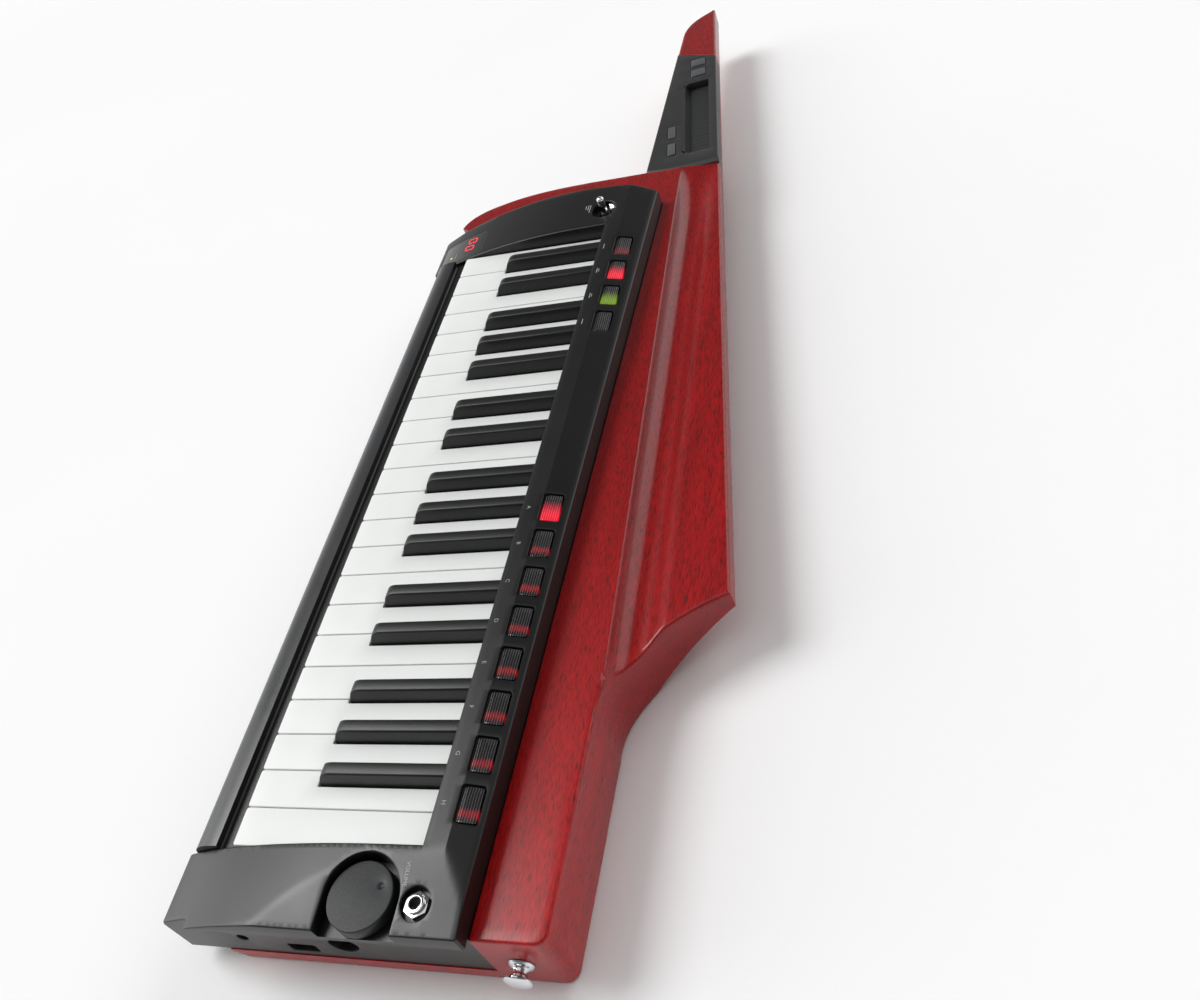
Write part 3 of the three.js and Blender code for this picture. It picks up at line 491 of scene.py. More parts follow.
def eased(profile: Sequence[Sequence[float]], radii: Sequence[float],
          steps: int = 5) -> np.ndarray:
    """Round the inner corners of an open profile, keeping its two ends."""
    line = np.asarray(profile, dtype=float)
    rounded = filleted(line, np.concatenate([[0.0], radii, [0.0]]), steps)
    start = int(np.argmin(np.linalg.norm(rounded - line[0], axis=1)))
    return np.roll(rounded, -start, axis=0)


def swept(section: np.ndarray, low_x: float, high_x: float) -> Shell:
    """Carry a closed section in Y and Z straight along X and close both ends."""
    return gridded(np.stack([np.column_stack([np.full(len(section), x), section])
                             for x in (low_x, high_x)]), caps=True)


# ---------------------------------------------------------------- pieces

def add_object(name: str, data: bpy.types.ID) -> bpy.types.Object:
    """Put a new object in the scene."""
    made = bpy.data.objects.new(name, data)
    bpy.context.scene.collection.objects.link(made)
    return made


def read_vectors(elements: bpy.types.bpy_prop_collection, attribute: str) -> np.ndarray:
    """Read one vector of every element of a mesh, a row for each."""
    values = np.empty(len(elements) * 3)
    elements.foreach_get(attribute, values)
    return values.reshape(-1, 3)


def make_piece(name: str, shells: Sequence[Shell], finish: bpy.types.Material, *,
               body: str = CHASSIS, replaces: Sequence[str] = (),
               sharp: float = 32.0) -> bpy.types.Object:
    """Args:
        name: the piece's name.
        shells: closed shells; doubled points are merged within each.
        finish: material.
        body: CAD body that it rides on.
        replaces: CAD nodes that it stands for.
        sharp: angle in degrees above which an edge stays crisp.
    Returns:
        The object.
    """
    total = bmesh.new()
    for shell in shells:
        mesh = bpy.data.meshes.new("part")
        mesh.from_pydata((DATUM + np.vstack(shell.points) * MM).tolist(), [], shell.faces)
        part = bmesh.new()
        part.from_mesh(mesh)
        bmesh.ops.remove_doubles(part, verts=part.verts, dist=WELD * MM)
        bmesh.ops.dissolve_degenerate(part, edges=part.edges, dist=SLIVER * MM)
        bmesh.ops.recalc_face_normals(part, faces=part.faces)
        part.to_mesh(mesh)
        part.free()
        total.from_mesh(mesh)
        bpy.data.meshes.remove(mesh)
    mesh = bpy.data.meshes.new(name)
    total.to_mesh(mesh)
    total.free()
    mesh.shade_smooth()
    mesh.set_sharp_from_angle(angle=math.radians(sharp))
    mesh.materials.append(finish)
    piece = add_object(name, mesh)
    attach(piece, body)
    if replaces:
        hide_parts(*replaces)
    return piece


def unwrap(piece: bpy.types.Object, low: Sequence[float], high: Sequence[float]) -> None:
    """Give a piece a UV map that runs from 0 to 1 between two corners in plan.

    Args:
        piece: the object.
        low, high: X and Y in millimetres at UV 0 and 1.
    """
    mesh = piece.data
    corner = np.empty(len(mesh.loops), dtype=np.int32)
    mesh.loops.foreach_get("vertex_index", corner)
    plan = (read_vectors(mesh.vertices, "co") - DATUM)[:, :2] / MM
    uv = (plan - np.asarray(low)) / (np.asarray(high) - np.asarray(low))
    layer = mesh.uv_layers.new(name="face")
    layer.uv.foreach_set("vector", uv[corner].ravel())


# ---------------------------------------------------------------- finishes

def linear(value: str) -> tuple[float, float, float, float]:
    """Turn an sRGB hex colour to linear light with full opacity."""
    srgb = np.array([int(value[i:i + 2], 16) for i in (1, 3, 5)]) / 255
    light = np.where(srgb <= 0.04045, srgb / 12.92, ((srgb + 0.055) / 1.055) ** 2.4)
    return (*light.tolist(), 1.0)


def per_mm(size: float) -> float:
    """Give the texture scale at which one feature is a size in millimetres."""
    return 1.0 / (size * MM)


def add_node(tree: bpy.types.NodeTree, kind: str, settings: dict[str, object] | None = None,
             inputs: dict[object, object] | None = None,
             stops: Sequence[tuple[float, str]] = ()) -> bpy.types.Node:
    """Add a node with its settings, and set or link its inputs.

    Args:
        tree: node tree.
        kind: node type.
        settings: attributes of the node.
        inputs: value, or the socket that feeds it, for each input.
        stops: place and hex colour of each stop, where the node is a colour ramp.
    Returns:
        The node.
    """
    node = tree.nodes.new(kind)
    for name, value in (settings or {}).items():
        setattr(node, name, value)
    for name, value in (inputs or {}).items():
        if isinstance(value, bpy.types.NodeSocket):
            tree.links.new(value, node.inputs[name])
        else:
            node.inputs[name].default_value = value
    if stops:
        elements = node.color_ramp.elements
        while len(elements) < len(stops):
            elements.new(0.5)
        for element, (place, colour) in zip(elements, stops):
            element.position = place
            element.color = linear(colour)
    return node


def new_material(name: str) -> tuple[bpy.types.Material, bpy.types.NodeTree, bpy.types.Node]:
    """Start a material with a principled shader."""
    material = bpy.data.materials.new(name)
    material.use_nodes = True
    tree = material.node_tree
    return material, tree, tree.nodes["Principled BSDF"]


def stretched(tree: bpy.types.NodeTree, sizes: Sequence[float]) -> bpy.types.NodeSocket:
    """Give Object coordinates scaled so that one feature has these sizes in millimetres."""
    place = add_node(tree, "ShaderNodeTexCoord").outputs["Object"]
    scale = tuple(per_mm(size) for size in sizes)
    return add_node(tree, "ShaderNodeMapping", inputs={
        "Vector": place, "Scale": scale}).outputs["Vector"]


@dataclass(frozen=True)
class StainedMahogany:
    """Open-grained mahogany, stained red and sprayed with a satin lacquer.

    The stain is darker in the pores, which are short dashes along the grain; painted shade
    darkens the colour towards the neck. The lacquer lays an even soft sheen over it.
    """

    name: str = "stained_mahogany_satin_lacquer"
    pore_length: float = 5.5
    pore_width: float = 0.42
    figure_length: float = 90.0
    figure_width: float = 7.0

    def build(self) -> bpy.types.Material:
        """Build the material: pores and figure over the stain, with painted shade towards the
        neck.
        """
        material, tree, shader = new_material(self.name)
        pores = add_node(tree, "ShaderNodeTexNoise", inputs={
            "Vector": stretched(tree, (self.pore_length, self.pore_width, self.pore_width)),
            "Scale": 1.0, "Detail": 3.0, "Roughness": 0.62}).outputs["Fac"]
        figure = add_node(tree, "ShaderNodeTexNoise", inputs={
            "Vector": stretched(tree, (self.figure_length, self.figure_width, self.figure_width)),
            "Scale": 1.0, "Detail": 4.0, "Roughness": 0.55, "Distortion": 0.3}).outputs["Fac"]
        stain = add_node(tree, "ShaderNodeValToRGB", inputs={"Fac": figure}, stops=[
            (0.3, "#a8070b"), (0.52, "#b60a0f"), (0.75, "#c20f13")]).outputs["Color"]
        depth = add_node(tree, "ShaderNodeValToRGB", inputs={"Fac": pores}, stops=[
            (0.34, "#4a1c1c"), (0.44, "#d2b8b8"), (0.56, "#ffffff")]).outputs["Color"]
        multiply = {"data_type": "RGBA", "blend_type": "MULTIPLY"}
        grained = add_node(tree, "ShaderNodeMix", multiply, {
            0: 0.9, 6: stain, 7: depth}).outputs[2]
        # Painted shade: the colour grows darker towards the neck, where less light falls.
        along = add_node(tree, "ShaderNodeSeparateXYZ", inputs={
            "Vector": stretched(tree, (METRE,) * 3)}).outputs["X"]
        neck_painted_shade = add_node(tree, "ShaderNodeValToRGB", inputs={"Fac": along}, stops=[
            (0.0, "#d6d6d6"), (0.12, "#dadada"), (0.44, "#ffffff")]).outputs["Color"]
        colour = add_node(tree, "ShaderNodeMix", multiply, {
            0: 1.0, 6: grained, 7: neck_painted_shade}).outputs[2]
        tree.links.new(colour, shader.inputs["Base Color"])
        rough = add_node(tree, "ShaderNodeMapRange", inputs={
            "Value": pores, "From Min": 0.3, "From Max": 0.7, "To Min": 0.5, "To Max": 0.4})
        tree.links.new(rough.outputs["Result"], shader.inputs["Roughness"])
        bump = add_node(tree, "ShaderNodeBump", inputs={
            "Height": pores, "Strength": 0.25, "Distance": 0.15 * MM})
        tree.links.new(bump.outputs["Normal"], shader.inputs["Normal"])
        shader.inputs["Specular IOR Level"].default_value = 0.12
        shader.inputs["Coat Weight"].default_value = 0.72
        shader.inputs["Coat Roughness"].default_value = 0.24
        return material


@dataclass(frozen=True)
class MouldedPlastic:
    """Moulded ABS, with the fine even texture of an eroded or polished mould.

    The texture breaks up the sheen, and a faint cloudiness varies the colour.
    """

    name: str
    colour: str
    shade: str
    roughness: float
    grit: float = 0.35
    relief: float = 0.02
    coat: float = 0.0
    ior: float = 1.5

    def build(self) -> bpy.types.Material:
        """Build the material: fine noise as relief, slow noise on colour and roughness."""
        material, tree, shader = new_material(self.name)
        grain = add_node(tree, "ShaderNodeTexNoise", inputs={
            "Vector": stretched(tree, (self.grit,) * 3), "Scale": 1.0, "Detail": 2.0,
            "Roughness": 0.6}).outputs["Fac"]
        cloud = add_node(tree, "ShaderNodeTexNoise", inputs={
            "Vector": stretched(tree, (35.0,) * 3), "Scale": 1.0,
            "Detail": 3.0}).outputs["Fac"]
        mixed = add_node(tree, "ShaderNodeMath", {"operation": "MULTIPLY_ADD"}, {
            0: grain, 1: 0.55, 2: cloud}).outputs[0]
        colour = add_node(tree, "ShaderNodeValToRGB", inputs={"Fac": mixed}, stops=[
            (0.55, self.shade), (0.95, self.colour)])
        tree.links.new(colour.outputs["Color"], shader.inputs["Base Color"])
        rough = add_node(tree, "ShaderNodeMapRange", inputs={
            "Value": mixed, "From Min": 0.5, "From Max": 1.0,
            "To Min": self.roughness + 0.04, "To Max": self.roughness - 0.04})
        tree.links.new(rough.outputs["Result"], shader.inputs["Roughness"])
        bump = add_node(tree, "ShaderNodeBump", inputs={
            "Height": grain, "Strength": 0.4, "Distance": self.relief * MM})
        tree.links.new(bump.outputs["Normal"], shader.inputs["Normal"])
        shader.inputs["IOR"].default_value = self.ior
        shader.inputs["Coat Weight"].default_value = self.coat
        shader.inputs["Coat Roughness"].default_value = 0.12
        return material


@dataclass(frozen=True)
class PlatedMetal:
    """Bright chrome plate over a turned blank, with the faintest haze of polishing."""

    name: str = "bright_chrome_plate"
    colour: str = "#dcdddf"
    roughness: float = 0.09

    def build(self) -> bpy.types.Material:
        """Build the material: full metal, with roughness varied by fine noise."""
        material, tree, shader = new_material(self.name)
        haze = add_node(tree, "ShaderNodeTexNoise", inputs={
            "Vector": stretched(tree, (2.0,) * 3), "Scale": 1.0, "Detail": 3.0})
        rough = add_node(tree, "ShaderNodeMapRange", inputs={
            "Value": haze.outputs["Fac"], "To Min": self.roughness - 0.04,
            "To Max": self.roughness + 0.06})
        tree.links.new(rough.outputs["Result"], shader.inputs["Roughness"])
        shader.inputs["Base Color"].default_value = linear(self.colour)
        shader.inputs["Metallic"].default_value = 1.0
        return material


class Lamp(Enum):
    """How a lens is lit: colour, strength, middle of the glow along the lens and its reach."""

    DARK = ("#000000", 0.0, 0.9, 0.1)
    GLIMMER = ("#e01824", 0.3, 0.74, 0.19)
    EMBER = ("#c8202a", 0.2, 0.86, 0.4)
    RED = ("#ff1838", 0.95, 0.84, 0.66)
    GREEN = ("#93bb10", 0.6, 0.86, 0.62)


@dataclass(frozen=True)
class RibbedLens:
    """Smoked acrylic with fine ribs along it, lit from under its tail end.

    A thin painted highlight lies on each rib's crest, and the lamp shows through as a soft glow
    whose edges the ribs fray.
    """

    lamp: Lamp
    smoke: str = "#121113"
    # Colour of the painted highlight on the rib crests.
    crest_highlight: str = "#565659"
    rib: float = 1.26
    width: float = CAP_SIZE[1]

    def build(self) -> bpy.types.Material:
        """Build the material: ribs, painted crest highlights and a glow that falls off along the
        lens.

        The glow is one less the distance from its middle over its reach, eased at both ends,
        after slow noise has shifted the distance.
        """
        material, tree, shader = new_material("smoked_acrylic_" + self.lamp.name.lower())
        colour, strength, middle, reach = self.lamp.value
        place = add_node(tree, "ShaderNodeTexCoord").outputs["UV"]
        split = add_node(tree, "ShaderNodeSeparateXYZ", inputs={"Vector": place})
        shader.inputs["Roughness"].default_value = 0.24
        shader.inputs["IOR"].default_value = 1.49
        half = self.rib / self.width / 2
        ribs = add_node(tree, "ShaderNodeMath", {"operation": "PINGPONG"}, {
            0: split.outputs["Y"], 1: half})
        crests = add_node(tree, "ShaderNodeMapRange", inputs={
            "Value": ribs.outputs[0], "From Max": half})
        # Painted highlight: each rib's crest is lighter in the colour, for the light it catches.
        painted_rib_highlights = add_node(tree, "ShaderNodeValToRGB", inputs={
            "Fac": crests.outputs["Result"]}, stops=[
                (0.0, self.smoke), (0.72, self.smoke), (0.95, self.crest_highlight)])
        tree.links.new(painted_rib_highlights.outputs["Color"], shader.inputs["Base Color"])
        bump = add_node(tree, "ShaderNodeBump", inputs={
            "Height": ribs.outputs[0], "Strength": 0.7, "Distance": 0.9 * MM / half / 6})
        tree.links.new(bump.outputs["Normal"], shader.inputs["Normal"])
        streak = add_node(tree, "ShaderNodeTexNoise", inputs={
            "Vector": stretched(tree, (4.0, 0.8, 0.8)), "Scale": 1.0, "Detail": 1.0})
        shifted = add_node(tree, "ShaderNodeMath", {"operation": "MULTIPLY_ADD"}, {
            0: streak.outputs["Fac"], 1: 0.22, 2: split.outputs["X"]})
        away = add_node(tree, "ShaderNodeMath", {"operation": "SUBTRACT"}, {
            0: shifted.outputs[0], 1: middle + 0.11})
        near = add_node(tree, "ShaderNodeMath", {"operation": "ABSOLUTE"}, {0: away.outputs[0]})
        glow = add_node(tree, "ShaderNodeMapRange", {"interpolation_type": "SMOOTHSTEP"}, {
            "Value": near.outputs[0], "From Min": 0.0, "From Max": reach,
            "To Min": strength, "To Max": 0.0})
        bands = add_node(tree, "ShaderNodeMapRange", inputs={
            "Value": ribs.outputs[0], "From Max": half, "To Min": 0.75, "To Max": 1.1})
        power = add_node(tree, "ShaderNodeMath", {"operation": "MULTIPLY"}, {
            0: glow.outputs["Result"], 1: bands.outputs["Result"]})
        tree.links.new(power.outputs[0], shader.inputs["Emission Strength"])
        shader.inputs["Emission Color"].default_value = linear(colour)
        return material


@dataclass(frozen=True)
class LitSegment:
    """A light-emitting segment behind a tinted window."""

    name: str
    colour: str
    strength: float

    def build(self) -> bpy.types.Material:
        """Build the material: an even glow that fades a little in slow noise."""
        material, tree, shader = new_material(self.name)
        cloud = add_node(tree, "ShaderNodeTexNoise", inputs={
            "Vector": stretched(tree, (3.0,) * 3), "Scale": 1.0, "Detail": 1.0})
        power = add_node(tree, "ShaderNodeMapRange", inputs={
            "Value": cloud.outputs["Fac"], "To Min": self.strength * 0.8,
            "To Max": self.strength * 1.2})
        tree.links.new(power.outputs["Result"], shader.inputs["Emission Strength"])
        shader.inputs["Base Color"].default_value = linear(self.colour)
        shader.inputs["Emission Color"].default_value = linear(self.colour)
        shader.inputs["Roughness"].default_value = 0.4
        return material


class Finishes:
    """Every finish of the keyboard, built once."""

    def __init__(self) -> None:
        """Build the materials."""
        self.mahogany = StainedMahogany().build()
        self.panel = MouldedPlastic("textured_black_abs", "#0e0f0e", "#070807", 0.34,
                                    grit=0.6, relief=0.04, ior=1.48).build()
        self.neck = MouldedPlastic("satin_black_neck_abs", "#2e2f2e", "#282928", 0.4).build()
        self.dial = MouldedPlastic("eroded_black_abs", "#26282a", "#0f1011", 0.5,
                                   grit=0.9, relief=0.09, ior=1.44).build()
        self.rail = MouldedPlastic("satin_black_abs", "#2b2c2e", "#262729", 0.3,
                                   ior=1.55).build()
        self.ledge = MouldedPlastic("speckled_black_abs", "#161716", "#070707", 0.42,
                                    grit=1.2, relief=0.15).build()
        self.white = MouldedPlastic("semi_gloss_white_abs", "#eceeec", "#e9ebe9", 0.4,
                                    relief=0.004, ior=1.36).build()
        self.black = MouldedPlastic("matt_black_abs", "#0e100f", "#090a0a", 0.38,
                                    grit=0.6, relief=0.05, ior=1.44).build()
        self.grey = MouldedPlastic("grey_painted_abs", "#55585a", "#4a4d4f", 0.4).build()
        self.ribbon = MouldedPlastic("textured_ribbon_film", "#2a2c2b", "#222423", 0.46,
                                     grit=0.3).build()
        self.socket = MouldedPlastic("deep_black_nylon", "#0b0b0b", "#060606", 0.55).build()
        self.window = MouldedPlastic("smoked_acrylic_window", "#171516", "#121011", 0.16,
                                     relief=0.0, coat=0.6, ior=1.49).build()
        self.print = MouldedPlastic("screen_printed_ink", "#a2a4a6", "#949698", 0.5).build()
        self.chrome = PlatedMetal().build()
        self.lenses = {lamp: RibbedLens(lamp).build() for lamp in Lamp}
        self.digit = LitSegment("red_display_segment", "#e8262e", 1.1).build()
        self.pilot = LitSegment("yellow_pilot_light", "#c6c83a", 0.9).build()


# ---------------------------------------------------------------- wooden body

@dataclass
class WoodenBody:
    """The stained body: strip, cove, wing, bevelled back, neck and the board under the keys."""

    top: float = -5.0
    base: float = -50.0
    tail: float = 494.0
    waist: float = 178.0
    wing_tip: tuple[float, float] = (308.0, 237.0)
    wing_top: float = -9.0
    neck_tip: tuple[float, float] = (-318.0, 149.0)
    neck_top: float = -6.0
    neck_player: float = 125.5
    shoulder: float = -82.0
    seat: float = -15.8
    tray_floor: float = -40.0
    gap: float = 0.3
    edge_round: float = 2.2
    seam_round: float = 0.35
    run_out: float = 70.0
    ridge_start: tuple[float, float] = (-82.3, 153.6)
    ridge_slope: float = 0.056
    cove_width: float = 29.0
    cove_start: float = -84.0
    bevel_edge: float = -22.0
    bevel_slope: float = 0.56
    panel_tip: float = -250.0
    tip_slant: float = 0.38

    def outer(self, x: np.ndarray | float) -> np.ndarray | float:
        """Place the straight outer edge of neck and wing at X."""
        slope = (self.wing_tip[1] - self.neck_tip[1]) / (self.wing_tip[0] - self.neck_tip[0])
        return self.wing_tip[1] + (x - self.wing_tip[0]) * slope

    def ridge(self, x: np.ndarray) -> np.ndarray:
        """Place the ridge between the flat strip and the cove at X."""
        return self.ridge_start[1] + (x - self.ridge_start[0]) * self.ridge_slope

    def cove(self, out: np.ndarray) -> np.ndarray:
        """Give the cove's drop at a distance out from the ridge.

        Two curves meet at the lowest line: a steep one from the ridge and a long rise to the
        wing. The whole is averaged over 1.2 mm, which rounds the ridge.
        """
        line = np.vstack([bezier([(0, 0), (3.25, -7.1), (7.8, -9.5), (13, -9.5)], 30),
                          bezier([(13, -9.5), (19.5, -9.5), (23.2, -4), (self.cove_width, -4)],
                                 30)[1:]])
        shifts = np.linspace(-0.6, 0.6, 7)[:, None]
        flat = np.ravel(out)[None]
        drop = np.interp(flat + shifts, line[:, 0], line[:, 1]).mean(axis=0)
        return drop.reshape(np.shape(out))

    def top_of_body(self, x: np.ndarray, y: np.ndarray) -> np.ndarray:
        """Give the height of strip, cove and wing.

        Towards the neck the cove runs out to a point above a plain fall to the wing: its
        share of the full depth eases in and out over the run-out.
        """
        out = y - self.ridge(x)
        step = np.clip(out / self.cove_width, 0, 1)
        plain = (self.wing_top - self.top) * step * step * (3 - 2 * step)
        way = np.clip((x - self.cove_start) / self.run_out, 0, 1)
        share = way * (2 - way)
        return self.top + plain + (self.cove(out) - plain) * share

    def under(self, x: np.ndarray, y: np.ndarray) -> np.ndarray:
        """Give the height of the back: flat, with the bevels of wing, neck and shoulder."""
        square_on = 0.99
        away = np.maximum((self.outer(x) - y) * square_on, 0)
        bevel = self.bevel_edge - self.bevel_slope * away
        neck = np.interp(x, [-128, -90, -74], [-31, -46, -50])
        neck = np.where(y > 117.5, neck, self.base)
        inner = np.where(x < -127, -31.0 + np.clip(133.5 - y, 0, 12), self.base)
        shoulder = np.where(y < 117.5, -30.0 - (x - self.shoulder) * 20 / 34, self.base)
        return np.maximum.reduce([np.full(np.shape(x), self.base), bevel, neck, inner, shoulder])

    def panel_side(self) -> np.ndarray:
        """Trace the seam beside the control panel, from its rear corner to the front."""
        side = np.array(PANEL_SIDE) - (self.gap, 0.0)
        side[0, 1] += self.gap
        return bezier(side, 60)

    def neck_seam(self, gap: float) -> np.ndarray:
        """Trace the curved end of the neck panel, from the player's side outwards."""
        curve = bezier([(-82.4 + gap, 117.5), (-79.4 + gap, 134.6), (-79.4 + gap, 154),
                        (-86.6 + gap, 190.1)], 60)
        inside = (curve[:, 1] > self.neck_player) & (curve[:, 1] < self.outer(curve[:, 0]))
        kept = curve[inside]
        first = [np.interp(self.neck_player, curve[:, 1], curve[:, 0]), self.neck_player]
        x = kept[-1, 0] - 0.3
        return np.vstack([first, kept, [x, self.outer(x)]])

    def tip_seam(self, gap: float) -> np.ndarray:
        """Trace the slanting end of the neck panel near the tip, from the player's side."""
        low_x = self.panel_tip - gap
        high_x = low_x + self.tip_slant * (self.outer(self.panel_tip + 8.0) - self.neck_player)
        return np.array([[low_x, self.neck_player], [high_x, self.outer(high_x)]])

    def strip_seam(self) -> float:
        """Place the straight seam between strip and panel at the tail face."""
        return 140.7 + (498.7 - self.tail) * 5.6 / 537

    def body_outline(self) -> tuple[np.ndarray, np.ndarray, np.ndarray]:
        """Trace strip, wing, shoulder and rim, with the rounds of its upper and lower edges.

        Returns:
            The loop, and the run of the round on each of its sides, above and below.
        """
        corner = circle(self.tail - 7, self.waist - 7, 7, 48)[:13]
        wing = bezier([(384, self.waist), (351.9, self.waist - 3.5), (322, 205.1), self.wing_tip])
        seam = self.neck_seam(self.gap)[::-1]
        rim = bezier([(self.shoulder, 76.8), (self.shoulder, 30.7), (-72.7, -12), (-47, -19)], 30)
        side = self.panel_side()[::-1]
        side = side[side[:, 1] > -13.2]
        runs = [(np.array([[self.tail, self.strip_seam()]]), 1.6), (corner, 1.8),
                (np.array([[420.0, self.waist]]), self.edge_round), (wing, self.edge_round),
                (seam, self.seam_round), (np.array([[self.shoulder, 123.5]]), self.edge_round),
                (rim, 2.6), (np.array([[-43.2, -13.5]]), 0.4), (side, 0.4)]
        loop = np.vstack([points for points, _ in runs])
        run = np.concatenate([np.full(len(points), value) for points, value in runs])
        loop, run = divided(loop, run, 3.0)
        ends = (loop[:, 0] < -41) & (loop[:, 1] < 8)
        run = np.where(ends, run * np.clip((loop[:, 1] + 17) / 25, 0.12, 1), run)
        low = np.where(run < 1.0, 0.0, run)
        return loop, run, low

    def body_shell(self) -> Shell:
        """Build strip, cove, wing, shoulder and rim as one form."""
        loop, run, low = self.body_outline()
        out = np.concatenate([np.arange(-42, -2, 6), [-1.4, -0.9, -0.5, -0.2, 0.1, 0.4, 0.8, 1.3],
                              np.arange(2, 14, 0.9), np.arange(14, 31, 1.5), np.arange(36, 90, 7)])
        inner = lattice(np.concatenate([np.arange(-80, -48, 1.6), np.arange(-48, 492, 5.0)]), out)
        inner[:, 1] += self.ridge(inner[:, 0])
        rim = lattice(np.arange(-80, -38, 4.0), np.arange(-16, 146, 5.0))
        back = lattice(np.arange(-80, 492, 6.0), np.array([1.0, *np.arange(6, 50, 6), 50, 51, 58]))
        back[:, 1] = self.outer(back[:, 0]) - back[:, 1]
        back_rim = lattice(np.arange(-79, -38, 3.0), np.arange(-16, 146, 4.0))
        return plan_form(loop, self.top_of_body, self.under, upper=Edge(run, steps=5),
                         lower=Edge(low, steps=5), inner=np.vstack([inner, rim]),
                         inner_low=np.vstack([back, back_rim]))

    def neck_shell(self) -> Shell:
        """Build the part of the neck that lies under its panel."""
        end = self.neck_seam(self.gap)
        low = np.array([*np.zeros(len(end) - 1), self.edge_round, 0.0, self.edge_round])
        loop, low = divided(np.vstack([end, self.tip_seam(self.gap)[::-1]]), low, 3.0)
        return plan_form(loop, level(self.seat), self.under, lower=Edge(low, steps=5),
                         inner_low=self.neck_points(-252, -78))

    def neck_points(self, low_x: float, high_x: float) -> np.ndarray:
        """Lay points over the neck's back, in rows that follow its bevels."""
        back = lattice(np.arange(low_x, high_x, 4.0), np.arange(0.8, 60, 3.0))
        back[:, 1] = self.outer(back[:, 0]) - back[:, 1]
        crease = lattice(np.arange(low_x, high_x, 4.0), np.array([126.8, 129, 131, 133.4, 133.7]))
        return np.vstack([back, crease])

    def tip_shell(self) -> Shell:
        """Build the tip of the neck beyond its panel."""
        seam = self.tip_seam(self.gap + 0.3)
        tip = bezier([self.neck_tip, (-311, 139.2), (-302, self.neck_player),
                      (-281, self.neck_player)], 30)
        run = np.array([self.seam_round, *[self.edge_round] * (len(tip) + 1)])
        loop, run = divided(np.vstack([seam, tip]), run, 2.0)
        low = np.where(run < 1, 0.0, run)
        return plan_form(loop, level(self.neck_top), self.under, upper=Edge(run, steps=5),
                         lower=Edge(low, steps=5), inner=lattice(np.arange(-314, -232, 4.0),
                                                                 np.arange(126, 165, 4.0)),
                         inner_low=self.neck_points(-316, -236))

    def board_shell(self) -> Shell:
        """Build the board under the keyboard, with its rounded front."""
        side = self.panel_side()
        side = side[side[:, 1] > -8.5]
        corners = np.vstack([[side[-1, 0], -9.0], [self.tail, -9.0],
                             [self.tail, self.strip_seam()], side])
        rounds = np.vstack([[13.0, 9.9], [2.2, 2.2], np.zeros((len(side) + 1, 2))])
        loop, rounds = divided(corners, rounds, 6.0)
        return plan_form(loop, level(self.tray_floor), level(self.base),
                         lower=Edge(*rounds.T, steps=8))

    def build(self, finishes: Finishes) -> None:
        """Build the body as one piece of its four forms."""
        shells = [self.body_shell(), self.neck_shell(), self.tip_shell(), self.board_shell()]
        make_piece("wooden_body", shells, finishes.mahogany,
                   replaces=["wood_body"], sharp=28.0)


# ---------------------------------------------------------------- control panel

